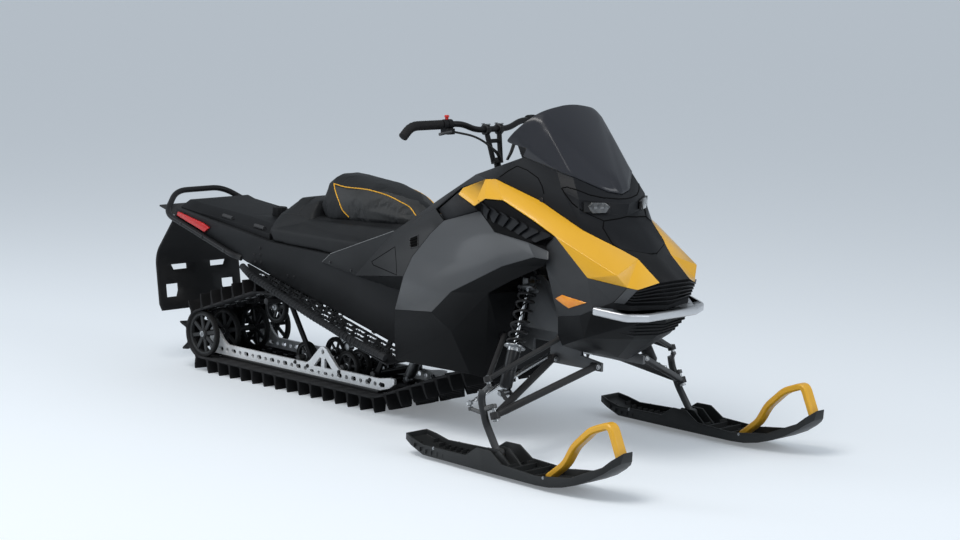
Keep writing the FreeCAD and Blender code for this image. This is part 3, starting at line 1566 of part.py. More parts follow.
# Front suspension and steering of each side.
pin_radius = 7
arms = []
shocks = []
springs = []
ski_bolt_y = 29
for side_name, side in SIDES:
    lower = towards(side, "lower_ball")
    upper = towards(side, "upper_ball")
    steer = towards(side, "steer_ball")
    head = towards(side, "shock_top")
    foot = towards(side, "shock_foot")
    king = kingpins[side]

    # Lower arm: two tubes from the cradle to a socket, with ears for the shock.
    tube_radius = value("lower_tube_radius")
    pivot = side * (pivot_y + tube_radius + clear)
    fronts = Vector(lower_front, pivot, value("lower_pivot_z"))
    rears = Vector(lower_rear, pivot, value("lower_pivot_z"))
    arm = strut([fronts, lower], tube_radius).fuse(strut([rears, lower], tube_radius))
    for point in (fronts, rears):
        arm = arm.fuse(round_bar(tube_radius, 30, point - ALONG_X * 15, ALONG_X, 6))
    arm = arm.fuse(round_bar(pin_radius + 10, 24, lower - king * 12, king))
    share = (abs(foot.y) - abs(pivot)) / (abs(lower.y) - abs(pivot))
    seat = rears + (lower - rears) * share
    for reach in (-17, 17):
        arm = arm.fuse(strut([seat + ALONG_Y * reach, foot + ALONG_Y * reach], 6, 4))
    arm = arm.fuse(round_bar(6, 44, foot - ALONG_Y * 22, ALONG_Y, 6))
    arm = arm.cut(bore_bar(pin_radius + clear, 40, lower - king * 20, king))
    arms.append(arm.removeSplitter())

    # Upper arm: two thinner tubes to the upper socket.
    slim = value("upper_tube_radius")
    outside = side * (upper_y - 4 + lug_radius + slim + 3 + clear)
    arm = round_bar(pin_radius + 8, 20, upper - king * 10, king)
    for along in (upper_front, upper_rear):
        point = Vector(along, outside, value("upper_pivot_z"))
        arm = arm.fuse(strut([point, upper], slim))
        arm = arm.fuse(round_bar(slim + 3, 26, point - ALONG_X * 13, ALONG_X, 6))
    arms.append(arm.cut(bore_bar(pin_radius + clear, 40, upper - king * 20, king)).removeSplitter())

    # Ski shock between the tower's pin and the lower arm's ears, with its spring.
    shock = damper(head, foot, value("shock_body_radius"), value("shock_rod_radius"), 14, 0.42)
    shock = shock.cut(bore_bar(6 + clear, 60, head - ALONG_Y * 30, ALONG_Y, 8))
    shock = shock.cut(bore_bar(6 + clear, 60, foot - ALONG_Y * 30, ALONG_Y, 6))
    way = (foot - head).normalize()
    travel = (foot - head).Length
    seat_radius = value("spring_radius") + 4
    spring_top = head + way * 26
    spring_low = head + way * (travel * 0.58)
    shock = shock.fuse(round_bar(seat_radius, 6, spring_top - way * 6, way, 10))
    shock = shock.fuse(round_bar(seat_radius, 6, spring_low, way, 10))
    shocks.append(shock.removeSplitter())
    wire = value("spring_wire")
    start = spring_top + way * (wire + 0.1)
    springs.append(coil(start, spring_low - way * (wire + 0.1), value("spring_radius") - wire, wire, 5))

    # Spindle: a forged leg outside the sockets, from the upper pin down to the ski bolt.
    bolt = Vector(value("ski_bolt_x"), side * value("ski_stance") / 2, value("ski_bolt_z"))
    away = Vector(-1, side * 0.35, 0)
    away = (away - king * away.dot(king)).normalize()
    collar = upper - king * 30 + away * 27
    knee = lower + king * 64 + away * 39
    shin = lower - king * 14 + away * 39
    leg = strut([collar, knee, shin, bolt], 13)
    leg = leg.fuse(round_bar(17, 38, bolt - ALONG_Y * 19, ALONG_Y, 8))
    leg = leg.fuse(round_bar(6, 2 * ski_bolt_y, bolt - ALONG_Y * ski_bolt_y, ALONG_Y, 6))
    upper_lug = upper - king * 23
    leg = leg.fuse(strut([upper_lug, collar - king * 8], 9))
    leg = leg.fuse(round_bar(10, 12, upper_lug - king * 6, king, 6))
    leg = leg.fuse(round_bar(pin_radius, 38, upper_lug, king, 8))
    lower_lug = lower + king * 32
    leg = leg.fuse(strut([lower_lug, knee + (shin - knee) * 0.45], 10))
    leg = leg.fuse(round_bar(12, 14, lower_lug - king * 7, king, 6))
    leg = leg.fuse(round_bar(pin_radius, 54, lower - king * 20, king, 8))
    leg = leg.fuse(round_bar(11, 7, lower - king * 21, king, 6))
    steer_lug = steer - king * 18
    leg = leg.fuse(strut([steer_lug, knee + (shin - knee) * 0.62], 7))
    leg = leg.fuse(round_bar(9, 12, steer_lug - king * 6, king, 6))
    leg = leg.fuse(round_bar(4.2, 30, steer_lug, king, 8))
    keep(feature(f"spindle_{side_name}", leg.removeSplitter()))

    # Tie rod from the spindle's steering pin in to the steering arm.
    inner = rod_inner + ALONG_Y * (side * value("rod_inner_y"))
    rod = strut([steer, inner], value("tie_rod_radius"))
    rod = rod.fuse(round_bar(12, 16, steer - king * 8, king))
    rod = rod.fuse(round_bar(11, 16, inner - king * 8, king))
    keep(feature(f"tie_rod_{side_name}", rod.cut(
        bore_bar(5 + clear, 60, steer - king * 30, king, 8)
    ).removeSplitter()))
group("suspension_arms", arms)
group("ski_shocks", shocks)
group("ski_springs", springs)


# Handlebar with its post, riser, grips, controls and cables.
bar_x = value("post_x") - 28
bar_bend_y = value("bar_bend_y")
bar_points = []
for side in (-1, 1):
    half = [
        Vector(value("grip_end_x"), side * value("grip_end_y"), value("grip_end_z")),
        Vector(value("grip_end_x") - 2, side * (bar_bend_y + 34), value("bar_bend_z")),
        Vector(bar_x - 6, side * 150, value("bar_bend_z") + 2),
        Vector(bar_x, side * 82, value("bar_z")),
    ]
    bar_points += half if side < 0 else half[::-1]
keep(round_rod("handlebar_tube", bar_points, value("bar_radius"), 30, 8, 2))
doc.recompute()
bar_shape = NODES[-1].Shape
riser = round_bar(post_radius, 170, post_top - post_way * 156, post_way, 10)
riser = riser.fuse(round_bar(post_radius + 9, 6, post_top - post_way * 109.7, post_way, 10))
riser = riser.fuse(round_bar(24, 20, post_top, post_way, 8))
bar_centre = Vector(bar_x, 0, value("bar_z"))
for side in (-1, 1):
    riser_foot = post_top + post_way * 10 + ALONG_Y * (side * 18)
    riser_head = bar_centre + ALONG_Y * (side * 33)
    riser = riser.fuse(strut([riser_foot, riser_head], 10))
    riser = riser.fuse(round_bar(21, 18, riser_head - ALONG_Y * 9, ALONG_Y, 8))
cross = post_top + post_way * 82
riser = riser.fuse(strut([cross - ALONG_Y * 28, cross + ALONG_Y * 28], 8))
keep(feature("handlebar_riser", riser.cut(bar_shape).removeSplitter()))
grips = []
controls = []
cables = []
for side_name, side in SIDES:
    ends = bar_points[:3] if side < 0 else bar_points[:-4:-1]
    outward = (ends[0] - ends[1]).normalize()
    inboard = (ends[2] - ends[1]).normalize()
    grip = round_path(
        [ends[0] + outward * 6, ends[1], ends[1] + inboard * 128], value("grip_radius"), 8, 30, 2
    )
    grips.append(grip.cut(bar_shape))
    control_at = ends[1] + inboard * 152
    control = round_bar(19, 40, control_at - inboard * 18, inboard, 8).cut(bar_shape)
    control = control.fuse(block(
        control_at.x - 14, control_at.x + 26, control_at.y - 18, control_at.y + 18,
        control_at.z - 34, control_at.z - 16,
    ))
    lever_start = control_at + Vector(22, 0, -24)
    lever_end = lever_start + Vector(6, side * (60 if side < 0 else 120), -7)
    controls.append(control.fuse(strut([lever_start, lever_end], 6, 6)).removeSplitter())
    if side < 0:
        button = round_bar(9, 16, control_at + ALONG_Z * 17.9, ALONG_Z, 10)
        keep(feature("stop_button", button))
    cable_points = [
        control_at + Vector(4, -side * 18.3, -25),
        Vector(bar_x + 26, side * 96, value("bar_z") - 22),
        Vector(value("post_x") + 36, side * 30, value("post_z") + 40),
        Vector(value("post_x") + 32, side * 16, value("post_z") + 14),
    ]
    cables.append(round_path(cable_points, 4, 6, 24, 3))
group("grips", grips)
group("bar_controls", controls)
group("bar_cables", cables)

# Instrument pod behind the windshield.
pod = block(560, 596, -72, 72, 1000, 1066)
pod.rotate(Vector(578, 0, 1000), ALONG_Y, -28)
keep(feature("instrument_pod", pod.cut(shell_parts["hood"])))

# Front bumper: a flat blade bent round the nose, with its ends on the nose's sides.
blade_half = Vector(1066, 238, 541), Vector(1174, 197, 533), Vector(1204, 122, 522)
blade_points = [Vector(point.x, -point.y, point.z) for point in blade_half] + list(blade_half[::-1])
blade_line = eased(blade_points, 30, 3)
half_thick = value("blade_thick") / 2
half_high = value("blade_height") / 2
outer_line = []
inner_line = []
for index, point in enumerate(blade_line):
    before = blade_line[max(index - 1, 0)]
    after = blade_line[min(index + 1, len(blade_line) - 1)]
    way = Vector(after.x - before.x, after.y - before.y, 0).normalize()
    out = way.cross(ALONG_Z)
    outer_line.append(point + out * half_thick)
    inner_line.append(point - out * half_thick)
plan = [Vector(point.x, point.y, 0) for point in outer_line + inner_line[::-1]]
blade = polygon_face(plan).extrude(ALONG_Z * 900)
front_x = blade_half[-1].x
end_x = blade_half[0].x
slope = (blade_half[0].z - blade_half[-1].z) / (front_x - end_x)
low_rear = blade_half[-1].z + slope * (front_x - 1000) - half_high
low_front = blade_half[-1].z - slope * 60 - half_high
band = side_plate([
    (1000, low_rear), (front_x + 60, low_front), (front_x + 60, low_front + 2 * half_high),
    (1000, low_rear + 2 * half_high),
], -300, 300)
blade = blade.common(band)
for name in ("lower_nose", "grille_shell", "nose_side_right", "nose_side_left"):
    blade = blade.cut(shell_parts[name])
blade = max(blade.Solids, key=lambda solid: solid.Volume)
keep(feature("front_bumper", blade))


def patch_solid(names, share, start, thick, side=-1):
    """A thin piece that stands on a shell facet, a share of the facet's size."""
    points = [corner(name, side) for name in names]
    middle = Vector(0, 0, 0)
    for point in points:
        middle += point * (1 / len(points))
    normal = facet_normal(points[:3], spine_point(points[:3]))
    corners = []
    for point in points:
        place = middle + (point - middle) * share
        place -= normal * (place - points[0]).dot(normal)
        corners.append(place + normal * start)
    return polygon_face(corners).extrude(normal * thick)


# Headlamps on the lamp faces of the hood, reflectors on the nose and the vents' louvres.
headlamps = []
reflectors = []
vents = []
VENT_FACETS = [
    ("tail_hook", "strip_low_a", "panel_peak"),
    ("panel_peak", "strip_low_a", "panel_notch"),
    ("strip_low_a", "strip_low_b", "panel_notch"),
    ("strip_low_b", "strip_low_c", "panel_notch"),
    ("strip_low_c", "panel_front", "panel_notch"),
    ("strip_low_c", "strip_low_d", "panel_front"),
    ("strip_low_d", "cheek_top", "panel_front"),
    ("cheek_top", "panel_nose", "panel_front"),
]
for side_name, side in SIDES:
    lamp = patch_solid(("brow_out", "brow_in", "lamp_in", "lamp_out"), 0.78, 3, 10, side)
    lamp = lamp.cut(shell_parts["hood"])
    headlamps.append(max(lamp.Solids, key=lambda solid: solid.Volume))
    reflector = [Vector(across, side * out, up) for across, out, up in (
        (921, 276, 568), (950, 276, 584), (1040, 276, 566), (974, 276, 540),
    )]
    reflector = polygon_face(reflector).extrude(ALONG_Y * (-side * 60))
    skin = panel_solid(SIDE_PANELS["nose_side"], shell_directions, -3, side=side)
    reflector = max(reflector.common(skin).Solids, key=lambda solid: solid.Volume)
    reflectors.append(reflector)
    vent = panel_solid(
        VENT_FACETS, shell_directions, 4, side=side, lift=-panel_thick - clear
    )
    top_a, top_b = corner("strip_low_a", side), corner("strip_low_d", side)
    foot_a, foot_b = corner("panel_peak", side), corner("panel_front", side)
    inwards = ALONG_Y * (-side * 9)
    for step in range(5):
        share = 0.2 + step * 0.15
        high = top_a + (top_b - top_a) * share + inwards
        low = foot_a + (foot_b - foot_a) * share + inwards
        middle = (high + low) * 0.5 + ALONG_X * 26
        vent = vent.fuse(strut([high, middle, low], 6, 4))
    for name in (f"fairing_{side_name}", f"side_panel_{side_name}", f"nose_side_{side_name}"):
        vent = vent.cut(shell_parts[name])
    vents.append(max(vent.Solids, key=lambda solid: solid.Volume))
group("headlamps", headlamps)
group("side_reflectors", reflectors)
group("vent_louvres", vents)


# Skis: a moulded tub with a keel, trimmed to its plan, with the loop and the runner.
def ski_line(lift):
    """Ski's bottom line in side view, moved up: straight tail, flat foot and rising tip."""
    foot = value("ski_keel_depth") + lift
    flat_end = value("ski_bolt_x") + 251
    rise = value("ski_tip_z") - 36 - value("ski_keel_depth")
    run = value("ski_tip_x") - 7 - flat_end
    radius = (run * run + rise * rise) / (2 * rise)
    sweep = math.asin(run / radius)
    line = [Vector(value("ski_tail_x"), 0, value("ski_tail_z") + lift)]
    line.append(Vector(value("ski_tail_x") + 100, 0, foot))
    steps = 6
    for step in range(steps + 1):
        angle = sweep * step / steps
        line.append(Vector(
            flat_end + radius * math.sin(angle), 0, foot + radius * (1 - math.cos(angle))
        ))
    return line


def ski_side_face(lift, top_points):
    """The region between the bottom line and a list of points along the top."""
    return polygon_face(ski_line(lift) + top_points)


def ski_plan(inset):
    """Half plan of the ski from above, made narrower by the inset."""
    tail_half = value("ski_tail_width") / 2 - inset
    half = value("ski_width") / 2 - inset
    tail_x = value("ski_tail_x") + inset
    tip_x = value("ski_tip_x") - inset
    bolt_x = value("ski_bolt_x")
    return [
        Vector(tail_x, -tail_half + 10, 0), Vector(tail_x + 40, -tail_half, 0),
        Vector(bolt_x, -half + 6, 0), Vector(bolt_x + 300, -half, 0),
        Vector(tip_x - 110, -half + 8, 0), Vector(tip_x - 30, -half + 30, 0),
        Vector(tip_x, -half + 58, 0), Vector(tip_x, half - 58, 0),
        Vector(tip_x - 30, half - 30, 0), Vector(tip_x - 110, half - 8, 0),
        Vector(bolt_x + 300, half, 0), Vector(bolt_x, half - 6, 0),
        Vector(tail_x + 40, tail_half, 0), Vector(tail_x, tail_half - 10, 0),
    ]


def plan_prism(points):
    face = Part.Face(Part.makePolygon(points + points[:1]))
    return face.extrude(ALONG_Z * 400)


def ski_shape():
    bolt_x = value("ski_bolt_x")
    tip_x = value("ski_tip_x")
    depth = value("ski_side_height")
    foot = value("ski_keel_depth")
    top = [
        Vector(tip_x, 0, value("ski_tip_z")),
        Vector(tip_x - 60, 0, foot + 104),
        Vector(tip_x - 180, 0, foot + 52),
        Vector(bolt_x + 251, 0, foot + depth * 0.8),
        Vector(bolt_x + 90, 0, foot + depth),
        Vector(bolt_x + 34, 0, foot + depth + 36),
        Vector(bolt_x - 30, 0, foot + depth + 36),
        Vector(bolt_x - 86, 0, foot + depth),
        Vector(value("ski_tail_x") + 100, 0, foot + depth - 4),
        Vector(value("ski_tail_x"), 0, value("ski_tail_z") + 24),
    ]
    width = value("ski_width")
    body = ski_side_face(0, top).extrude(ALONG_Y * width)
    body.translate(ALONG_Y * (-width / 2))
    body = body.common(plan_prism(ski_plan(0)))
    high = [Vector(tip_x, 0, 400), Vector(value("ski_tail_x"), 0, 400)]
    room = ski_side_face(value("ski_floor"), high).extrude(ALONG_Y * width)
    room.translate(ALONG_Y * (-width / 2))
    room = room.common(plan_prism(ski_plan(value("ski_wall"))))
    body = body.cut(room)
    # Inner walls beside the bolt, cross ribs, and the keel below.
    for side in (-1, 1):
        ear = side_plate([
            (bolt_x - 70, foot + 4), (bolt_x + 110, foot + 4), (bolt_x + 34, foot + depth + 30),
            (bolt_x - 26, foot + depth + 30),
        ], side * 20, side * 28)
        body = body.fuse(ear)
    rib = value("ski_rib_thick")
    for step in range(int(value("ski_rib_count"))):
        along = bolt_x + 112 + step * 62
        body = body.fuse(block(
            along, along + rib, 8 - width / 2, width / 2 - 8, foot + 4, foot + 30,
        ))
    keel_half = value("ski_keel_width") / 2
    keel = side_plate([
        (value("ski_tail_x") + 120, foot + 2), (value("ski_tail_x") + 200, 6),
        (bolt_x + 240, 6), (bolt_x + 330, foot + 8),
    ], -keel_half, keel_half)
    body = body.fuse(keel)
    bore_at = Vector(bolt_x, -50, value("ski_bolt_z"))
    body = body.cut(Part.makeCylinder(6 + clear, 100, bore_at, ALONG_Y))
    return body.removeSplitter()


def strap(points, thick, width):
    """A flat strap bent along points of the side view, with mitred corners."""
    sides = []
    for reach in (thick / 2, -thick / 2):
        line = []
        for index, point in enumerate(points):
            ways = []
            if index > 0:
                ways.append((point - points[index - 1]).normalize())
            if index < len(points) - 1:
                ways.append((points[index + 1] - point).normalize())
            way = (ways[0] + ways[-1]).normalize()
            across = Vector(-way.z, 0, way.x)
            stretch = 1 / max(0.4, way.dot(ways[0]))
            line.append(point + across * reach * stretch)
        sides.append(line)
    ring_points = sides[0] + sides[1][::-1]
    face = Part.Face(Part.makePolygon(ring_points + ring_points[:1]))
    solid = face.extrude(ALONG_Y * width)
    solid.translate(ALONG_Y * (-width / 2))
    return solid


ski = ski_shape()
tip_x = value("ski_tip_x")
loop_points = [
    Vector(tip_x - 8, 0, 140), Vector(tip_x - 66, 0, 250), Vector(tip_x - 84, 0, 256),
    Vector(tip_x - 146, 0, 222), Vector(tip_x - 226, 0, 152), Vector(tip_x - 264, 0, 86),
    Vector(tip_x - 340, 0, 26),
]
loop = strap(loop_points, value("loop_thick"), value("loop_width")).cut(ski)
loop = max(loop.Solids, key=lambda solid: solid.Volume)
runner = block(
    value("ski_tail_x") + 210, value("ski_bolt_x") + 236, -value("runner_radius"),
    value("runner_radius"), 0, 6,
)
for side_name, side in SIDES:
    offset = ALONG_Y * (side * value("ski_stance") / 2)
    for name, shape in (("ski", ski), ("ski_loop", loop), ("ski_runner", runner)):
        placed = shape.copy()
        placed.translate(offset)
        keep(feature(f"{name}_{side_name}", placed))

# Every sub-part is checked before it is written.
doc.recompute()
for thing in doc.Objects:
    for state in thing.State:
        if state in ("Invalid", "Error"):
            raise RuntimeError(f"{thing.Label} is {state}")
for thing in NODES:
    shape = thing.Shape
    if shape.isNull() or not shape.isValid() or not shape.Solids:
        raise RuntimeError(f"{thing.Label} has no valid solid")
for thing in NODES:
    thing.Shape.exportStep(f"parts/{thing.Label}.step")
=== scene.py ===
import math

import bmesh
import bpy
from mathutils import Matrix, Vector
from mathutils.bvhtree import BVHTree


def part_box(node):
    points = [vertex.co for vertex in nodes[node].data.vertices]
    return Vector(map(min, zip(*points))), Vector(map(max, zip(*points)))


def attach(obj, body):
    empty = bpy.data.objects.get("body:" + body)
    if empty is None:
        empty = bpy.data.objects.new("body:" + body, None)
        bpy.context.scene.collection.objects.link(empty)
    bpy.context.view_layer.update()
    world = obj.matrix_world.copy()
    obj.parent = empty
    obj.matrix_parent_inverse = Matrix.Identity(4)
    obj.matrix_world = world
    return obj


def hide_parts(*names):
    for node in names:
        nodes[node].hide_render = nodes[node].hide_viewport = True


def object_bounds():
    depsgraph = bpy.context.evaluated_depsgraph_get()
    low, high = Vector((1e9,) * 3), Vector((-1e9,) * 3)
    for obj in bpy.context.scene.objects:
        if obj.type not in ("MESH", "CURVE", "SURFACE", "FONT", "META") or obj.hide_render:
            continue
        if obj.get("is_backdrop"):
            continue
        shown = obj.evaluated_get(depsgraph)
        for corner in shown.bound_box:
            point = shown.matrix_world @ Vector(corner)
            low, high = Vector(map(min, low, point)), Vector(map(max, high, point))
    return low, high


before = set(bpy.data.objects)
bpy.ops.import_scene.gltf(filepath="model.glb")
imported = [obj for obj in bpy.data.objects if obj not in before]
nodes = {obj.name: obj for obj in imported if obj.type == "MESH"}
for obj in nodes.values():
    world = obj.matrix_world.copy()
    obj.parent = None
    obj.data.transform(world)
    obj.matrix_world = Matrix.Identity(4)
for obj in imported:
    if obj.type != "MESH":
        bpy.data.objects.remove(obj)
cad_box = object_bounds()


# Camera, floor and light.
# The camera stands at the machine's right front, as in the photograph. The floor is a
# plain pale sheet, under one large soft lamp and two weaker ones beside it.
CAMERA_PLACE = (5.7855, -5.3699, 1.6702)
CAMERA_TURN = 45.711
CAMERA_DIP = 8.153
CAMERA_ROLL = 0.874
CAMERA_LENS = 79.485
SENSOR_WIDTH = 36

turn = math.radians(CAMERA_TURN)
dip = math.radians(CAMERA_DIP)
forward = Vector((
    -math.sin(turn) * math.cos(dip), math.cos(turn) * math.cos(dip), -math.sin(dip)
))
sideways = forward.cross(Vector((0, 0, 1))).normalized()
upwards = sideways.cross(forward)
roll = math.radians(CAMERA_ROLL)
camera_x = sideways * math.cos(roll) + upwards * math.sin(roll)
camera_y = upwards * math.cos(roll) - sideways * math.sin(roll)
camera = bpy.data.objects.new("camera", bpy.data.cameras.new("camera"))
camera.data.lens = CAMERA_LENS
camera.data.sensor_width = SENSOR_WIDTH
camera.matrix_world = Matrix.Translation(CAMERA_PLACE) @ Matrix(
    (camera_x, camera_y, -forward)
).transposed().to_4x4()
bpy.context.scene.collection.objects.link(camera)
bpy.context.scene.camera = camera
bpy.context.scene.view_settings.view_transform = "Standard"

FLOOR_REACH = 150
FLOOR_GLOW = 0.20
floor_mesh = bpy.data.meshes.new("floor")
floor_mesh.from_pydata(
    [(x * FLOOR_REACH, y * FLOOR_REACH, 0) for x, y in ((-1, -1), (1, -1), (1, 1), (-1, 1))],
    [],
    [(0, 1, 2, 3)],
)
floor = bpy.data.objects.new("floor", floor_mesh)
bpy.context.scene.collection.objects.link(floor)
pale_floor = bpy.data.materials.new("pale floor")
pale_floor.use_nodes = True
floor_shader = pale_floor.node_tree.nodes["Principled BSDF"]
floor_shader.inputs["Base Color"].default_value = (0.74, 0.78, 0.82, 1)
floor_shader.inputs["Roughness"].default_value = 0.9
floor_shader.inputs["Specular IOR Level"].default_value = 0.1
floor_tree = pale_floor.node_tree
rays = floor_tree.nodes.new("ShaderNodeLightPath")
seen = rays.outputs["Is Camera Ray"]
for ray in ("Is Transmission Ray", "Is Glossy Ray"):
    added = floor_tree.nodes.new("ShaderNodeMath")
    added.operation = "ADD"
    floor_tree.links.new(seen, added.inputs[0])
    floor_tree.links.new(rays.outputs[ray], added.inputs[1])
    seen = added.outputs["Value"]
lit = floor_tree.nodes.new("ShaderNodeMath")
lit.operation = "MULTIPLY"
lit.inputs[1].default_value = FLOOR_GLOW
floor_tree.links.new(seen, lit.inputs[0])
floor_tree.links.new(lit.outputs["Value"], floor_shader.inputs["Emission Strength"])
floor_shader.inputs["Emission Color"].default_value = (0.90, 0.95, 1.0, 1)
floor.data.materials.append(pale_floor)
floor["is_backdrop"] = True

LAMPS_AIM = Vector((0.1, 0, 0.5))
world = bpy.data.worlds.new("soft sky")
bpy.context.scene.world = world
world.use_nodes = True
sky = world.node_tree.nodes["Background"]
sky.inputs["Color"].default_value = (0.80, 0.88, 0.96, 1)
sky.inputs["Strength"].default_value = 0.46
for name, place, size, power, tint in (
    ("key lamp", (1.0, -3.5, 6.0), 3.5, 225, (1, 0.98, 0.95)),
    ("side lamp", (-4.5, -4.0, 3.0), 3.0, 70, (0.9, 0.95, 1)),
    ("front lamp", (6.0, 1.5, 3.0), 3.0, 80, (0.94, 0.97, 1)),
):
    light = bpy.data.lights.new(name, "AREA")
    light.shape = "DISK"
    light.size = size
    light.energy = power
    light.color = tint
    lamp = bpy.data.objects.new(name, light)
    lamp.location = place
    lamp.rotation_euler = (LAMPS_AIM - Vector(place)).to_track_quat("-Z", "Y").to_euler()
    bpy.context.scene.collection.objects.link(lamp)


# Tunnel: a folded aluminium channel that carries seat, boards and rear suspension.
# It has a black powder coat with a fine orange peel, and is held by bolts through its sides.
TUNNEL_SIDE = 0.222


def finish(name, colour, shade, roughness, grain, depth, metal=0.0, coat=0.0, patch=5.0,
           worn=None, gloss=0.4, stretch=(1, 1, 1)):
    """A finish that wanders softly between two shades, over a fine grain.

    worn is the colour of rubbed edges, and stretch draws the grain out along an axis.
    """
    material = bpy.data.materials.new(name)
    material.use_nodes = True
    tree = material.node_tree
    make, link = tree.nodes.new, tree.links.new
    shader = tree.nodes["Principled BSDF"]
    place = make("ShaderNodeTexCoord").outputs["Object"]
    broad = make("ShaderNodeTexNoise")
    broad.inputs["Scale"].default_value = patch
    broad.inputs["Detail"].default_value = 6
    link(place, broad.inputs["Vector"])
    shades = make("ShaderNodeValToRGB")
    shades.color_ramp.elements[0].position = 0.35
    shades.color_ramp.elements[1].position = 0.72
    shades.color_ramp.elements[0].color = (*colour, 1)
    shades.color_ramp.elements[1].color = (*shade, 1)
    link(broad.outputs["Fac"], shades.inputs["Fac"])
    skin = shades.outputs["Color"]
    drawn = make("ShaderNodeMapping")
    drawn.inputs["Scale"].default_value = stretch
    link(place, drawn.inputs["Vector"])
    fine = make("ShaderNodeTexNoise")
    fine.inputs["Scale"].default_value = grain
    fine.inputs["Detail"].default_value = 3
    link(drawn.outputs["Vector"], fine.inputs["Vector"])
    if worn:
        rubbed = make("ShaderNodeMapRange")
        rubbed.inputs["From Min"].default_value = 0.53
        rubbed.inputs["From Max"].default_value = 0.62
        link(make("ShaderNodeNewGeometry").outputs["Pointiness"], rubbed.inputs["Value"])
        uneven = make("ShaderNodeMath")
        uneven.operation = "MULTIPLY"
        link(rubbed.outputs["Result"], uneven.inputs[0])
        link(fine.outputs["Fac"], uneven.inputs[1])
        mix = make("ShaderNodeMix")
        mix.data_type = "RGBA"
        link(uneven.outputs["Value"], mix.inputs["Factor"])
        link(skin, mix.inputs[6])
        mix.inputs[7].default_value = (*worn, 1)
        skin = mix.outputs[2]
    link(skin, shader.inputs["Base Color"])
    dull = make("ShaderNodeMapRange")
    dull.inputs["To Min"].default_value = roughness * 0.85
    dull.inputs["To Max"].default_value = min(1.0, roughness * 1.2)
    link(broad.outputs["Fac"], dull.inputs["Value"])
    link(dull.outputs["Result"], shader.inputs["Roughness"])
    bump = make("ShaderNodeBump")
    bump.inputs["Strength"].default_value = 0.35
    bump.inputs["Distance"].default_value = depth
    link(fine.outputs["Fac"], bump.inputs["Height"])
    link(bump.outputs["Normal"], shader.inputs["Normal"])
    shader.inputs["Metallic"].default_value = metal
    shader.inputs["Coat Weight"].default_value = coat
    shader.inputs["Coat Roughness"].default_value = 0.12
    shader.inputs["Specular IOR Level"].default_value = gloss
    return material


def fit_piece(name, shape, body, material, replaces=(), edge=0.0, sharp=30):
    """Turn a built shape into a piece of the machine, with its sharp turns eased by edge."""
    mesh = bpy.data.meshes.new(name)
    shape.to_mesh(mesh)
    shape.free()
    mesh.materials.append(material)
    for face in mesh.polygons:
        face.use_smooth = True
    if not edge:
        mesh.set_sharp_from_angle(angle=math.radians(sharp))
    piece = bpy.data.objects.new(name, mesh)
    bpy.context.scene.collection.objects.link(piece)
    if edge:
        eased = piece.modifiers.new("eased edges", "BEVEL")
        eased.width = edge
        eased.segments = 2
        eased.limit_method = "ANGLE"
        eased.angle_limit = math.radians(sharp)
        eased.use_clamp_overlap = False
        eased.harden_normals = True
    if replaces:
        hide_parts(*replaces)
    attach(piece, body)
    return piece


def cast_shape(name):
    """The closed shape of a CAD node with its flat faces joined, ready for eased edges."""
    shape = bmesh.new()
    shape.from_mesh(nodes[name].data)
    bmesh.ops.remove_doubles(shape, verts=shape.verts, dist=2e-5)
    bmesh.ops.dissolve_limit(
        shape, angle_limit=math.radians(0.6), verts=shape.verts, edges=shape.edges
    )
    return shape


def moulded(name, node, body, material, edge, sharp=14):
    """A piece in the exact form of its CAD node, with rounded edges."""
    return fit_piece(name, cast_shape(node), body, material, (node,), edge, sharp)


def circle(shape, centre, across, beside, radius, sides):
    """A ring of points about centre, in the plane of two ways."""
    return [
        shape.verts.new(
            centre
            + across * radius * math.cos(2 * math.pi * step / sides)
            + beside * radius * math.sin(2 * math.pi * step / sides)
        )
        for step in range(sides)
    ]


def bridge(shape, low, high):
    """Add the faces between two rings of as many points."""
    for step in range(len(low)):
        after = (step + 1) % len(low)
        shape.faces.new((low[step], low[after], high[after], high[step]))


def enclose(shape, rings):
    """Join a row of rings by faces, with a cap at each end."""
    for low, high in zip(rings, rings[1:]):
        bridge(shape, low, high)
    shape.faces.new(rings[0][::-1])
    shape.faces.new(rings[-1])


def turned(shape, foot, way, profile, sides=20, open_ring=False):
    """Add a turned form: profile lists (distance along way, radius) from foot. An open ring
    joins its last circle to its first; any other form has a flat cap at each end."""
    way = Vector(way).normalized()
    across = way.orthogonal().normalized()
    beside = way.cross(across)
    rings = [
        circle(shape, Vector(foot) + way * along, across, beside, radius, sides)
        for along, radius in profile
    ]
    if open_ring:
        for low, high in zip(rings, rings[1:] + rings[:1]):
            bridge(shape, low, high)
    else:
        enclose(shape, rings)


def bolt(shape, foot, way, radius, height):
    """Add a flanged hex bolt head that stands on foot."""
    turned(shape, foot, way, [
        (-0.0008, radius * 1.25), (height * 0.18, radius * 1.25), (height * 0.3, radius * 1.05),
    ], 18)
    turned(shape, foot, way, [
        (height * 0.2, radius), (height * 0.88, radius), (height, radius * 0.82),
        (height * 0.9, radius * 0.5),
    ], 6)


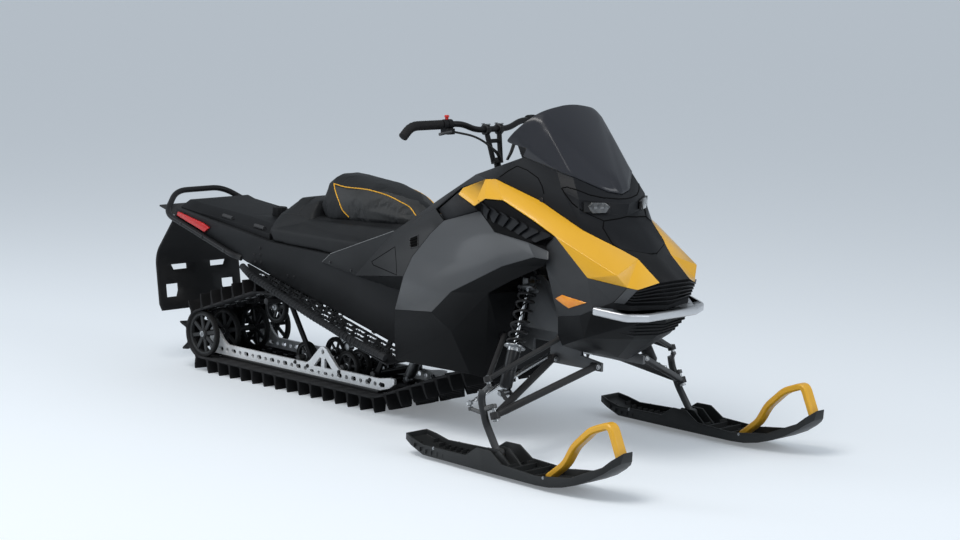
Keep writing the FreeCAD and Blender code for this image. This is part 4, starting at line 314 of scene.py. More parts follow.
powder_black = finish(
    "black powder coat", (0.0085, 0.0092, 0.0102), (0.0140, 0.0150, 0.0165), 0.48, 900, 0.0005,
    worn=(0.07, 0.07, 0.074), gloss=0.12,
)
zinc = finish(
    "zinc plated fastener", (0.30, 0.31, 0.32), (0.46, 0.47, 0.48), 0.32, 600, 0.0002, 1.0
)
dark_zinc = finish(
    "black zinc fastener", (0.03, 0.03, 0.032), (0.07, 0.07, 0.072), 0.36, 600, 0.0002, 0.8
)
moulded("tunnel_channel", "tunnel", "chassis", powder_black, 0.0014)
shape = bmesh.new()
for side in (-1, 1):
    for x, z in ((-0.770, 0.529), (-0.732, 0.533), (-0.764, 0.501), (-0.726, 0.505),
                 (-0.732, 0.560), (-0.560, 0.470), (-0.520, 0.470), (-1.18, 0.640), (-1.23, 0.652)):
        bolt(shape, (x, side * TUNNEL_SIDE, z), (0, side, 0), 0.0052, 0.004)
fit_piece("tunnel_bolts", shape, "chassis", powder_black)


# Front frame and engine: cast towers and a cradle that carry the front suspension, with
# tubes up to the steering post's bearing. The frame is grey alloy, the block bare cast metal.
engine_cast = finish(
    "cast engine metal", (0.07, 0.07, 0.07), (0.12, 0.12, 0.12), 0.55, 350, 0.0009, 0.8
)
frame_cast = finish(
    "grey cast frame", (0.085, 0.088, 0.092), (0.130, 0.134, 0.140), 0.42, 420, 0.0008, 0.5,
    worn=(0.3, 0.3, 0.3), gloss=0.4,
)
moulded("front_frame_weldment", "front_frame", "chassis", frame_cast, 0.0014)
moulded("engine_casting", "engine_block", "chassis", engine_cast, 0.004)


# Track: one endless rubber belt with moulded paddles, driven from inside by sprockets.
# Windows between the paddles let the sprocket teeth through, each with a steel guide clip.
TRACK_HALF = 0.203
BELT = 0.008
LUG_HEIGHT = 0.057
LUG_COUNT = 51
FLOOR_TO_BELT = LUG_HEIGHT + BELT
TRACK_ROLLERS = (
    ((-1.145, FLOOR_TO_BELT + 0.095), 0.095),
    ((-0.111, FLOOR_TO_BELT + 0.190), 0.190),
    ((0.377, 0.330), 0.092),
    ((-0.790, 0.306), 0.066),
)


def track_line(out, count):
    """Evenly spaced (place, outward way) pairs round the track, out from its rollers."""
    grown = [(Vector(centre), radius + out) for centre, radius in TRACK_ROLLERS]
    tangents = []
    for index, (centre, radius) in enumerate(grown):
        after, after_radius = grown[(index + 1) % len(grown)]
        way = after - centre
        angle = math.atan2(way.y, way.x) - math.pi / 2
        angle += math.asin((radius - after_radius) / way.length)
        away = Vector((math.cos(angle), math.sin(angle)))
        tangents.append((centre + away * radius, after + away * after_radius, angle))
    runs = []
    for index, (centre, radius) in enumerate(grown):
        start = tangents[index - 1][2]
        end = tangents[index][2]
        while end < start:
            end += 2 * math.pi
        runs.append(("arc", centre, radius, start, (end - start) * radius))
        low, high, angle = tangents[index]
        runs.append(("run", low, high, angle, (high - low).length))
    total = sum(run[4] for run in runs)
    places = []
    for step in range(count):
        rest = total * (step + 0.5) / count
        for kind, first, second, angle, length in runs:
            if rest > length:
                rest -= length
                continue
            if kind == "arc":
                angle += rest / second
                away = Vector((math.cos(angle), math.sin(angle)))
                places.append((first + away * second, away))
            else:
                places.append((
                    first + (second - first) * rest / length,
                    Vector((math.cos(angle), math.sin(angle))),
                ))
            break
    return places


def paddle(shape, place, away, y0, y1):
    """Add one paddle, wide at its foot, thin and a little cupped at its tip."""
    along = Vector((-away.y, away.x))
    rows = []
    for height, half, draw, cup in (
        (-BELT * 0.4, 0.0105, -0.004, 0), (0.010, 0.0066, 0.0, 0),
        (LUG_HEIGHT * 0.6, 0.0045, 0.001, 0.001), (LUG_HEIGHT, 0.0036, 0.006, 0.004),
    ):
        row = []
        for y, bulge in ((y0 + draw, 0), ((y0 + y1) / 2, cup), (y1 - draw, 0)):
            for offset in (-half, half):
                point = place + away * height + along * (offset + bulge)
                row.append(shape.verts.new((point.x, y, point.y)))
        rows.append(row)
    loop = (0, 2, 4, 5, 3, 1)
    for low, high in zip(rows, rows[1:]):
        bridge(shape, [low[index] for index in loop], [high[index] for index in loop])
    top = rows[-1]
    shape.faces.new((top[0], top[2], top[3], top[1]))
    shape.faces.new((top[2], top[4], top[5], top[3]))


def chunk(shape, centre, ways, halves):
    """Add a block about centre, with a half size along each of three ways."""
    corners = []
    for a in (-1, 1):
        for b in (-1, 1):
            for c in (-1, 1):
                corners.append(shape.verts.new(
                    Vector(centre)
                    + Vector(ways[0]) * halves[0] * a
                    + Vector(ways[1]) * halves[1] * b
                    + Vector(ways[2]) * halves[2] * c
                ))
    for face in ((0, 1, 3, 2), (4, 6, 7, 5), (0, 4, 5, 1), (2, 3, 7, 6), (0, 2, 6, 4),
                 (1, 5, 7, 3)):
        shape.faces.new([corners[index] for index in face])


def thicken(piece, name, thickness):
    """Give a sheet its thickness, half of it to each side."""
    sheet = piece.modifiers.new(name, "SOLIDIFY")
    sheet.thickness = thickness
    sheet.offset = 0


track_rubber = finish(
    "track rubber", (0.009, 0.009, 0.0095), (0.017, 0.017, 0.018), 0.72, 260, 0.0012,
    worn=(0.05, 0.05, 0.052), gloss=0.14, patch=9,
)
STEPS_PER_LUG = 6
STEPS = LUG_COUNT * STEPS_PER_LUG
GUIDE_Y = 0.062
shape = bmesh.new()
lanes = (-TRACK_HALF, -0.122, -0.094, 0.094, 0.122, TRACK_HALF)
rows = [
    [shape.verts.new((place.x, y, place.y)) for y in lanes]
    for place, _ in track_line(BELT * 0.5, STEPS)
]
for index in range(STEPS):
    here, after = rows[index], rows[(index + 1) % STEPS]
    for lane in range(len(lanes) - 1):
        if lane in (1, 3) and index % STEPS_PER_LUG in (0, 4, 5):
            continue
        shape.faces.new((here[lane], here[lane + 1], after[lane + 1], after[lane]))
belt = fit_piece(
    "track_belt", shape, "chassis", track_rubber, ("track",), sharp=60
)
thicken(belt, "belt thickness", BELT)

PADDLE_SPANS = (
    ((-0.200, -0.138), (-0.120, -0.012), (0.012, 0.120), (0.138, 0.200)),
    ((-0.200, -0.078), (-0.062, 0.062), (0.078, 0.200)),
)
shape, clips = bmesh.new(), bmesh.new()
for index, (place, away) in enumerate(track_line(BELT, LUG_COUNT)):
    ways = ((-away.y, 0, away.x), (0, 1, 0), (away.x, 0, away.y))
    for y0, y1 in PADDLE_SPANS[index % 2]:
        paddle(shape, place, away, y0, y1)
    inner = place - away * (BELT + 0.007)
    for y in (-GUIDE_Y, GUIDE_Y):
        chunk(shape, (inner.x, y, inner.y), ways, (0.008, 0.014, 0.009))
    low = place - away * (BELT + 0.0012)
    for y in (-0.092, 0.092, -0.124, 0.124):
        chunk(clips, (low.x, y, low.y), ways, (0.012, 0.007, 0.0014))
fit_piece("track_paddles", shape, "chassis", track_rubber, ("track",), 0.0012, 25)
fit_piece("track_clips", clips, "chassis", zinc, edge=0.0006)


# Drive axle and carrier wheels: the axle in the tunnel's front drives the belt by toothed
# sprockets, and two small wheels on the rear arm carry the belt's upper run.
wheel_nylon = finish(
    "black nylon wheel", (0.021, 0.022, 0.023), (0.031, 0.032, 0.033), 0.5, 400, 0.0005,
    worn=(0.10, 0.10, 0.10), gloss=0.3,
)
tyre_rubber = finish(
    "wheel tyre rubber", (0.012, 0.012, 0.012), (0.022, 0.022, 0.022), 0.68, 300, 0.0008,
    gloss=0.14,
)
moulded("drive_axle_and_sprockets", "drive_axle", "chassis", wheel_nylon, 0.0012, 30)
ACROSS = Vector((0, 1, 0))


def spoked_wheel(rims, tyres, hubs, x, y, z, radius, width, spokes):
    """Add one wheel: a rubber tyre on a spoked nylon rim, and a bearing hub."""
    half = width / 2
    turned(tyres, (x, y - half, z), ACROSS, [
        (0.0022, radius - 0.010), (0.0005, radius - 0.006), (0.002, radius - 0.0015),
        (0.006, radius), (width - 0.006, radius), (width - 0.002, radius - 0.0015),
        (width - 0.0005, radius - 0.006), (width - 0.0022, radius - 0.010),
    ], 48, True)
    for ring in (
        [(0.0035, radius - 0.0095), (0.001, radius - 0.012), (0.001, radius - 0.016),
         (0.004, radius - 0.019), (width - 0.004, radius - 0.019), (width - 0.001, radius - 0.016),
         (width - 0.001, radius - 0.012), (width - 0.0035, radius - 0.0095)],
        [(0.0, 0.010), (0.0, 0.0185), (0.002, 0.020), (width - 0.002, 0.020), (width, 0.0185),
         (width, 0.010)],
    ):
        turned(rims, (x, y - half, z), ACROSS, ring, 48, True)
    rim_inside, hub_outside = radius - 0.016, 0.018
    reach = (rim_inside + hub_outside) / 2
    length = (rim_inside - hub_outside) / 2 + 0.002
    for step in range(spokes):
        angle = 2 * math.pi * step / spokes + 0.2
        out = Vector((math.cos(angle), 0, math.sin(angle)))
        side_way = Vector((-out.z, 0, out.x))
        chunk(
            rims, Vector((x, y, z)) + out * reach, (out, side_way, ACROSS),
            (length, radius * 0.078, half * 0.35),
        )
    for side in (-1, 1):
        turned(hubs, (x, y + side * (half - 0.001), z), (0, side, 0), [
            (0, 0.0125), (0.003, 0.0125), (0.004, 0.0105),
        ], 24)
        bolt(hubs, (x, y + side * (half + 0.002), z), (0, side, 0), 0.0075, 0.006)


def wheel_set(name, node, axles, width, spokes, axle_sides=16):
    """Fit the wheels of one node. Each axle gives x, z, the wheels' radius and their places
    across, and its own half length and radius."""
    rims, tyres, hubs = bmesh.new(), bmesh.new(), bmesh.new()
    for x, z, radius, places, half, axle_radius in axles:
        for y in places:
            spoked_wheel(rims, tyres, hubs, x, y, z, radius, width, spokes)
        axle = [(0, axle_radius), (half * 2, axle_radius)]
        turned(rims, (x, -half, z), ACROSS, axle, axle_sides)
    fit_piece(f"{name}_rims", rims, "chassis", wheel_nylon, (node,), 0.0008, 30)
    fit_piece(f"{name}_tyres", tyres, "chassis", tyre_rubber, (node,))
    fit_piece(f"{name}_hubs", hubs, "chassis", zinc)


wheel_set("carrier_wheel", "carrier_wheels", (
    (-0.790, 0.306, 0.066, (-0.090, 0.090), 0.100, 0.011),
), 0.022, 6)


# Rails: two pressed aluminium beams that the belt's clips slide along on plastic shoes.
# Slots and round holes lighten them, and a triangular tower stands where the rear arm bears.
RAIL_Y = 0.131
RAIL_THICK = 0.012
RAIL_LOW = FLOOR_TO_BELT + 0.011
RAIL_HIGH = RAIL_LOW + 0.044
TOWER_X = -0.448
RAIL_HOLES = 25


def drilled_plate(shape, outline, holes, y, thick):
    """Add an upright plate with its outline and holes in the XZ plane, centred on y."""
    loops = [outline] + holes
    edges = []
    for loop in loops:
        verts = [shape.verts.new((px, y - thick / 2, pz)) for px, pz in loop]
        for index in range(len(verts)):
            edges.append(shape.edges.new((verts[index], verts[(index + 1) % len(verts)])))
    filled = bmesh.ops.triangle_fill(shape, use_beauty=True, use_dissolve=False, edges=edges)
    faces = [item for item in filled["geom"] if isinstance(item, bmesh.types.BMFace)]
    bmesh.ops.recalc_face_normals(shape, faces=faces)
    drawn = bmesh.ops.extrude_face_region(shape, geom=faces)
    moved = [item for item in drawn["geom"] if isinstance(item, bmesh.types.BMVert)]
    bmesh.ops.translate(shape, verts=moved, vec=(0, thick, 0))


def round_hole(x, z, radius, sides=14, long=0.0):
    """The outline of a round hole, or of a slot long by that much along X."""
    points = []
    for step in range(sides):
        angle = 2 * math.pi * (step + 0.5) / sides
        shift = long / 2 if math.cos(angle) > 0 else -long / 2
        points.append((x + shift + radius * math.cos(angle), z + radius * math.sin(angle)))
    return points


brushed = finish(
    "brushed rail aluminium", (0.78, 0.79, 0.80), (0.88, 0.89, 0.90), 0.45, 220, 0.0003, 0.35,
    stretch=(0.05, 1, 1), patch=4,
)
RAIL_OUTLINE = [
    (-1.175, RAIL_LOW + 0.020), (-1.165, RAIL_LOW + 0.008), (-1.135, RAIL_LOW), (-0.111, RAIL_LOW),
    (-0.060, RAIL_LOW + 0.014), (-0.031, RAIL_LOW + 0.034), (-0.031, RAIL_LOW + 0.054),
    (-0.060, RAIL_LOW + 0.054), (-0.121, RAIL_HIGH), (TOWER_X + 0.100, RAIL_HIGH),
    (TOWER_X + 0.078, RAIL_HIGH + 0.014), (TOWER_X + 0.020, RAIL_HIGH + 0.070),
    (TOWER_X + 0.008, RAIL_HIGH + 0.076), (TOWER_X - 0.008, RAIL_HIGH + 0.076),
    (TOWER_X - 0.020, RAIL_HIGH + 0.070), (TOWER_X - 0.078, RAIL_HIGH + 0.014),
    (TOWER_X - 0.100, RAIL_HIGH), (-1.055, RAIL_HIGH), (-1.085, RAIL_HIGH + 0.020),
    (-1.119, RAIL_HIGH + 0.056), (-1.132, RAIL_HIGH + 0.062), (-1.158, RAIL_HIGH + 0.062),
    (-1.169, RAIL_HIGH + 0.052),
]
rail_holes = [
    [(TOWER_X + 0.010, 0.113), (TOWER_X + 0.056, 0.113), (TOWER_X + 0.018, 0.152),
     (TOWER_X + 0.010, 0.150)],
    [(TOWER_X - 0.056, 0.113), (TOWER_X - 0.010, 0.113), (TOWER_X - 0.010, 0.150),
     (TOWER_X - 0.018, 0.152)],
    round_hole(TOWER_X, 0.176, 0.009),
    round_hole(-1.142, 0.126, 0.010), round_hole(-1.142, 0.158, 0.007, 12),
]
for step in range(RAIL_HOLES):
    x = -1.095 + step * 0.0415
    near_tower = abs(x - TOWER_X) < 0.075
    if step % 2:
        z, radius = (0.092, 0.0065) if near_tower else (0.097, 0.0085)
        rail_holes.append(round_hole(x, z, radius, 12))
    else:
        z, radius = (0.092, 0.006) if near_tower else (0.098, 0.009)
        rail_holes.append(round_hole(x, z, radius, 12, 0.010))
shape = bmesh.new()
for side in (-1, 1):
    drilled_plate(shape, RAIL_OUTLINE, rail_holes, side * RAIL_Y, RAIL_THICK)
fit_piece("slide_rails", shape, "chassis", brushed, ("rails",), 0.0009, 40)
shoe_nylon = finish(
    "slide shoe plastic", (0.014, 0.014, 0.0145), (0.022, 0.022, 0.022), 0.4, 500, 0.0003
)
moulded("slide_shoe_strips", "slide_shoes", "chassis", shoe_nylon, 0.0015)
shape = bmesh.new()
for side in (-1, 1):
    for x, z in ((-0.170, 0.108), (-0.540, 0.108), (-0.106, 0.100), (-0.350, 0.112),
                 (-0.616, 0.112)):
        bolt(shape, (x, side * (RAIL_Y + RAIL_THICK / 2), z), (0, side, 0), 0.0065, 0.006)
fit_piece("rail_bolts", shape, "chassis", dark_zinc)


# Rear axle and idlers: spoked nylon wheels with rubber tyres that turn the belt at its rear
# end and hold it down along the rails, each on its own bearing.
wheel_set("rear_wheel", "rear_axle", (
    (-1.145, 0.160, 0.095, (-0.186, -0.076, 0.076, 0.186), 0.190, 0.012),
), 0.022, 8, 18)
wheel_set("idler", "idler_wheels", (
    (-0.350, 0.127, 0.062, (-0.088, -0.028, 0.028, 0.088), 0.1245, 0.011),
    (-0.616, 0.127, 0.062, (-0.076, 0.076), 0.1245, 0.011),
), 0.020, 6)


# Swing arms and track shocks: welded tube arms that hang the rails from the tunnel, with a
# gas shock and its coil behind each. Arms and coils are black, the shock bodies bare alloy.
def bent_line(points, bend, steps=6):
    """A line through points with each inner corner rounded over the length bend."""
    points = [Vector(point) for point in points]
    line = [points[0]]
    for before, here, after in zip(points, points[1:], points[2:]):
        reach = min(bend, (here - before).length * 0.48, (after - here).length * 0.48)
        start = here + (before - here).normalized() * reach
        end = here + (after - here).normalized() * reach
        for step in range(steps + 1):
            share = step / steps
            line.append(start.lerp(here, share).lerp(here.lerp(end, share), share))
    return line + [points[-1]]


def tube(shape, points, radius, sides=16):
    """Add a round tube along points; radius is one number or one for each point."""
    points = [Vector(point) for point in points]
    radii = [radius] * len(points) if isinstance(radius, float) else radius
    ways = []
    for index in range(len(points)):
        before, after = points[max(index - 1, 0)], points[min(index + 1, len(points) - 1)]
        ways.append((after - before).normalized())
    across = ways[0].orthogonal().normalized()
    rings = []
    for point, way, size in zip(points, ways, radii):
        across = (across - way * across.dot(way)).normalized()
        rings.append(circle(shape, point, across, way.cross(across), size, sides))
    enclose(shape, rings)


END_TURNS_CLOSED = 0.055


def coil_spring(shape, head, foot, radius, wire, turns):
    """Add a coil spring between two points, its last turns closed on their seats."""
    head, foot = Vector(head), Vector(foot)
    way = (foot - head).normalized()
    across = way.orthogonal().normalized()
    beside = way.cross(across)
    length = (foot - head).length
    steps = int(turns * 20)
    points = []
    for step in range(steps + 1):
        share = step / steps
        rise = share - END_TURNS_CLOSED * math.sin(2 * math.pi * share)
        angle = 2 * math.pi * turns * share
        points.append(
            head + way * length * rise
            + across * radius * math.cos(angle) + beside * radius * math.sin(angle)
        )
    tube(shape, points, wire, 8)


frame_black = finish(
    "black arm paint", (0.010, 0.010, 0.011), (0.018, 0.018, 0.0195), 0.36, 700, 0.0004,
    worn=(0.10, 0.10, 0.10), gloss=0.18,
)
shock_alloy = finish(
    "anodised shock alloy", (0.32, 0.33, 0.34), (0.45, 0.46, 0.47), 0.3, 500, 0.0002, 0.95
)
chrome_rod = finish(
    "chromed rod", (0.62, 0.63, 0.64), (0.70, 0.71, 0.72), 0.1, 500, 0.0001, 1.0
)
spring_black = finish(
    "black spring steel", (0.012, 0.012, 0.013), (0.02, 0.02, 0.021), 0.34, 500, 0.0003, gloss=0.2
)
moulded("front_arm_of_track", "front_swing_arm", "chassis", frame_black, 0.0012, 30)
moulded("rear_arm_of_track", "rear_swing_arm", "chassis", frame_black, 0.0012, 30)


def boss(shape, centre, way, length, radius, end_radius, taper=0.001, sides=20):
    """Add a cylinder about centre whose ends taper to end_radius."""
    turned(shape, Vector(centre) - Vector(way) * length / 2, way, [
        (0, end_radius), (taper, radius), (length - taper, radius), (length, end_radius),
    ], sides)


SHOCK_RADIUS = 0.022
ROD_RADIUS = 0.0075
bodies, rods, caps, coils = (bmesh.new() for _ in range(4))
for head, foot in (
    ((-0.585, 0, 0.352), (TOWER_X, 0, 0.180)), ((0.060, 0, 0.380), (-0.106, 0, 0.100)),
):
    head, foot = Vector(head), Vector(foot)
    way = (foot - head).normalized()
    length = (foot - head).length
    body = length * 0.52
    turned(bodies, foot - way * 0.016, -way, [(along, SHOCK_RADIUS * share) for along, share in (
        (0, 0.5), (0.004, 0.82), (0.008, 0.82), (0.012, 0.96), (body - 0.028, 0.96),
        (body - 0.026, 1), (body - 0.018, 1), (body - 0.016, 0.9), (body - 0.012, 0.62),
    )], 28)
    turned(rods, head + way * 0.012, way, [(0, ROD_RADIUS), (length - body, ROD_RADIUS)], 18)
    for end, out in ((head, way), (foot, -way)):
        boss(caps, end, ACROSS, 0.030, 0.0135, 0.008)
        turned(caps, end + out * 0.008, out, [(0, 0.010), (0.014, 0.010), (0.016, 0.008)], 16)
    coil_spring(coils, head + way * 0.024, head + way * 0.60 * length, 0.0265, 0.004, 6)
fit_piece(
    "track_shock_bodies", bodies, "chassis", shock_alloy, ("track_shocks",),
    sharp=35,
)
fit_piece("track_shock_rods", rods, "chassis", chrome_rod)
fit_piece("track_shock_eyes", caps, "chassis", shock_alloy)
fit_piece("track_shock_springs", coils, "chassis", spring_black)


# Running boards: toothed alloy gratings beside the tunnel where the rider stands, each
# with a tube along its outer edge. They are folded, punched and powder coated black.
BOARD_REAR, BOARD_FRONT = (-0.818, 0.496), (0.226, 0.240)
BOARD_WIDEST = 0.375
BOARD_RIM = (
    (0.006, 0.656, -0.014), (0.123, 0.79, -0.005), (0.305, 0.88, 0.006), (0.549, 0.955, 0.010),
    (0.766, 1.0, 0.016), (0.95, 0.972, 0.016),
)
BOARD_PLAN = (
    (-0.818, TUNNEL_SIDE), (-0.688, 0.298), (-0.388, 0.349), (-0.024, BOARD_WIDEST),
    (0.186, BOARD_WIDEST),
)


def board_height(x):
    """Height of the board's top at a distance along the machine."""
    share = (x - BOARD_REAR[0]) / (BOARD_FRONT[0] - BOARD_REAR[0])
    return BOARD_REAR[1] + share * (BOARD_FRONT[1] - BOARD_REAR[1])


def board_edge(x):
    """Distance from the centre plane to the board's outer edge."""
    for (x0, y0), (x1, y1) in zip(BOARD_PLAN, BOARD_PLAN[1:]):
        if x0 <= x <= x1:
            return y0 + (y1 - y0) * (x - x0) / (x1 - x0)
    return 0


HOLE_ROWS, HOLE_COLUMNS = 4, 15
ROW_STEP, COLUMN_STEP = 0.033, 0.064
shape, teeth = bmesh.new(), bmesh.new()
holes, tooth_places = [], []
for row in range(HOLE_ROWS):
    across = 0.246 + row * ROW_STEP
    for column in range(HOLE_COLUMNS):
        x = -0.742 + column * COLUMN_STEP + (COLUMN_STEP / 2 if row % 2 else 0)
        long = 0.026 if (row + column) % 3 else 0.018
        room = min(board_edge(x - long), board_edge(x + long)) - 0.016
        if x + long > 0.165 or across + 0.012 > room:
            continue
        holes.append([(x + long * along, across + wide) for along, wide in (
            (-1, -0.0075), (-0.5, -0.0105), (0.5, -0.0105), (1, -0.0075),
            (1, 0.0075), (0.5, 0.0105), (-0.5, 0.0105), (-1, 0.0075),
        )])
        for step in (-1, 0, 1):
            for edge in (-0.0135, 0.0135):
                tooth_places.append((x + step * long * 0.62, across + edge))
outline = [(-0.800, 0.2225), (0.186, 0.2225), (0.186, 0.372), (-0.024, 0.372), (-0.388, 0.346),
           (-0.688, 0.295), (-0.800, 0.232)]
for side in (-1, 1):
    board = bmesh.new()
    drilled_plate(board, outline, holes, 0, 0.005)
    for vert in board.verts:
        x, lift, across = vert.co
        vert.co = (x, side * across, board_height(x) - 0.0028 + lift)
    flat = bpy.data.meshes.new("board half")
    board.to_mesh(flat)
    board.free()
    shape.from_mesh(flat)
    for x, across in tooth_places:
        foot = Vector((x, side * across, board_height(x)))
        corners = [
            teeth.verts.new(foot + Vector(step))
            for step in ((-0.006, -0.002, 0), (0.006, -0.002, 0), (0.006, 0.002, 0),
                         (-0.006, 0.002, 0))
        ]
        tip = teeth.verts.new(foot + Vector((0.001, 0, 0.007)))
        teeth.faces.new(corners[::-1])
        for index in range(4):
            teeth.faces.new((corners[index], corners[(index + 1) % 4], tip))
bmesh.ops.recalc_face_normals(shape, faces=shape.faces)
fit_piece(
    "board_gratings", shape, "chassis", powder_black, ("running_boards",),
    0.0007, 40,
)
fit_piece(
    "board_teeth", teeth, "chassis", powder_black, ("running_boards",), 0.0003
)
GRIP_RINGS = 46
shape = bmesh.new()
for side in (-1, 1):
    line = []
    for share, wide, lift in BOARD_RIM:
        x = BOARD_REAR[0] + share * (BOARD_FRONT[0] - BOARD_REAR[0])
        line.append(Vector((x, side * wide * BOARD_WIDEST, board_height(x) + lift)))
    tube(shape, bent_line(line, 0.09), 0.0135, 18)
    for step in range(GRIP_RINGS):
        x = -0.78 + step * 0.0205
        for start, end in zip(line, line[1:]):
            if start.x <= x < end.x:
                centre = start.lerp(end, (x - start.x) / (end.x - start.x))
                way = (end - start).normalized()
                boss(shape, centre, way, 0.0044, 0.0146, 0.0137, sides=18)
fit_piece(
    "board_edge_tubes", shape, "chassis", powder_black, ("running_boards",),
    sharp=35,
)


# Rear bumper: one bent steel tube hoop round the tail, painted black. Three bolts on each
# side hold it to the tunnel.
def mirrored(point, side):
    """A left-hand point moved to one side of the machine."""
    return Vector((point[0], side * point[1], point[2]))


def on_side(points, side):
    """Left-hand points moved to one side of the machine."""
    return [mirrored(point, side) for point in points]


HOOP = (
    (-0.852, 0.220, 0.508), (-0.894, 0.234, 0.518), (-1.340, 0.234, 0.642), (-1.424, 0.120, 0.722),
)
shape = bmesh.new()
hoop_line = on_side(HOOP, -1) + on_side(reversed(HOOP), 1)
tube(shape, bent_line(hoop_line, 0.055, 8), 0.012, 20)
fit_piece("rear_hoop", shape, "chassis", frame_black, ("rear_bumper",), sharp=50)
shape = bmesh.new()
for side in (-1, 1):
    start, end = mirrored(HOOP[1], side), mirrored(HOOP[2], side)
    for share in (0.1, 0.42, 0.74):
        turned(shape, start.lerp(end, share) + Vector((0, side * 0.011, 0)), (0, side, 0), [
            (0, 0.007), (0.002, 0.007), (0.0035, 0.0045),
        ], 16)
fit_piece("hoop_bolts", shape, "chassis", dark_zinc)


# Snow flap: a moulded rubber sheet hung under the tail, with windows that let snow out
# and raised ribs that keep it from folding.
FLAP_LINE = ((-1.286, 0.667), (-1.322, 0.612), (-1.446, 0.458), (-1.414, 0.222))
flap_rubber = finish(
    "snow flap rubber", (0.016, 0.016, 0.017), (0.026, 0.026, 0.027), 0.55, 500, 0.0005,
    worn=(0.04, 0.04, 0.04), gloss=0.18, patch=7,
)
flap_curve = bent_line([(x, 0, z) for x, z in FLAP_LINE], 0.05, 8)
UPPER_WINDOW = (0.410, 0.388, 0.061, 0.141)
LOWER_WINDOW = (0.330, 0.276, 0.115, 0.175)
levels = sorted(
    {round(point.z, 4) for point in flap_curve} | {*UPPER_WINDOW[:2], *LOWER_WINDOW[:2]}
    | {0.54, 0.59, 0.50, 0.36, 0.30, 0.25}, reverse=True
)


def flap_x(height):
    """Where the flap's sheet lies along the machine at a height."""
    for before, after in zip(flap_curve, flap_curve[1:]):
        if after.z <= height <= before.z:
            share = (before.z - height) / max(before.z - after.z, 1e-6)
            return before.x + (after.x - before.x) * share
    return flap_curve[-1].x


half_columns = (0.012, 0.061, 0.115, 0.141, 0.175, 0.205, 0.215)
columns = [-y for y in reversed(half_columns)] + list(half_columns)
shape = bmesh.new()
grid = [[shape.verts.new((flap_x(z) + 0.003, y, z)) for y in columns] for z in levels]
for row in range(len(levels) - 1):
    high, low = levels[row], levels[row + 1]
    for column in range(len(columns) - 1):
        middle = abs(columns[column] + columns[column + 1]) / 2
        if any(high <= top and low >= foot and inner < middle < outer
               for top, foot, inner, outer in (UPPER_WINDOW, LOWER_WINDOW)):
            continue
        shape.faces.new((
            grid[row][column], grid[row][column + 1],
            grid[row + 1][column + 1], grid[row + 1][column],
        ))
for row, high in enumerate(levels):
    for column, y in enumerate(columns):
        if (high, abs(y)) == (UPPER_WINDOW[1], UPPER_WINDOW[3]):
            grid[row][column].co.y *= 0.93
        if (high, abs(y)) == (LOWER_WINDOW[1], LOWER_WINDOW[2]):
            grid[row][column].co.y *= 1.08
        if high == levels[-1] and abs(y) > 0.2:
            grid[row][column].co.y *= 0.95
loose = [vert for vert in shape.verts if not vert.link_faces]
bmesh.ops.delete(shape, geom=loose, context="VERTS")
flap = fit_piece(
    "snow_flap_sheet", shape, "chassis", flap_rubber, ("snow_flap",), sharp=60
)
thicken(flap, "sheet thickness", 0.006)
RIB_RADIUS = 0.0045
shape = bmesh.new()
for y in (-0.19, -0.036, 0.036, 0.19):
    run = [(flap_x(z) - 0.0005, y, z)
           for z in (0.60, 0.54, 0.50, 0.47, 0.44, 0.42, 0.36, 0.30, 0.24)]
    tube(shape, run, RIB_RADIUS, 10)
for z in (0.555, 0.435):
    tube(shape, [(flap_x(z) - 0.0005, y, z) for y in (-0.19, 0, 0.19)], RIB_RADIUS, 10)
fit_piece("snow_flap_ribs", shape, "chassis", flap_rubber, sharp=60)


# Tail lamps: a red plastic lens let into each side of the tunnel's rear. Fine flutes in it
# spread the light.
tail_lens = finish(
    "red lamp lens", (0.50, 0.008, 0.008), (0.62, 0.014, 0.012), 0.16, 40, 0.0012, coat=0.5,
    patch=30, stretch=(8, 1, 1),
)
moulded("tail_lamp_lenses", "tail_lamps", "chassis", tail_lens, 0.0012)


# Cargo deck and anchor: a textured moulding riveted on the tunnel behind the seat, with a
# ring anchor that racks and bags lock into.
moulded_black = finish(
    "black moulding", (0.0078, 0.0083, 0.0095), (0.0128, 0.0136, 0.0152), 0.54, 1100, 0.0007,
    worn=(0.045, 0.045, 0.047), gloss=0.12,
)
moulded_charcoal = finish(
    "charcoal moulding", (0.016, 0.0165, 0.018), (0.025, 0.026, 0.028), 0.5, 1100, 0.0007,
    worn=(0.075, 0.075, 0.078), gloss=0.18,
)
moulded("cargo_deck_cover", "cargo_deck", "chassis", moulded_black, 0.0022)
moulded("cargo_anchor_ring", "cargo_anchor", "chassis", moulded_black, 0.0028, 25)
shape = bmesh.new()
for side in (-1, 1):
    for x in (-0.985, -0.78):
        height = 0.616 + (-0.704 - x) * 0.1
        ends = ((x - 0.030, 0.185, height + 0.016), (x + 0.030, 0.185, height + 0.010))
        tube(shape, on_side(ends, side), 0.008, 14)
fit_piece("cargo_deck_clips", shape, "chassis", moulded_charcoal, sharp=40)


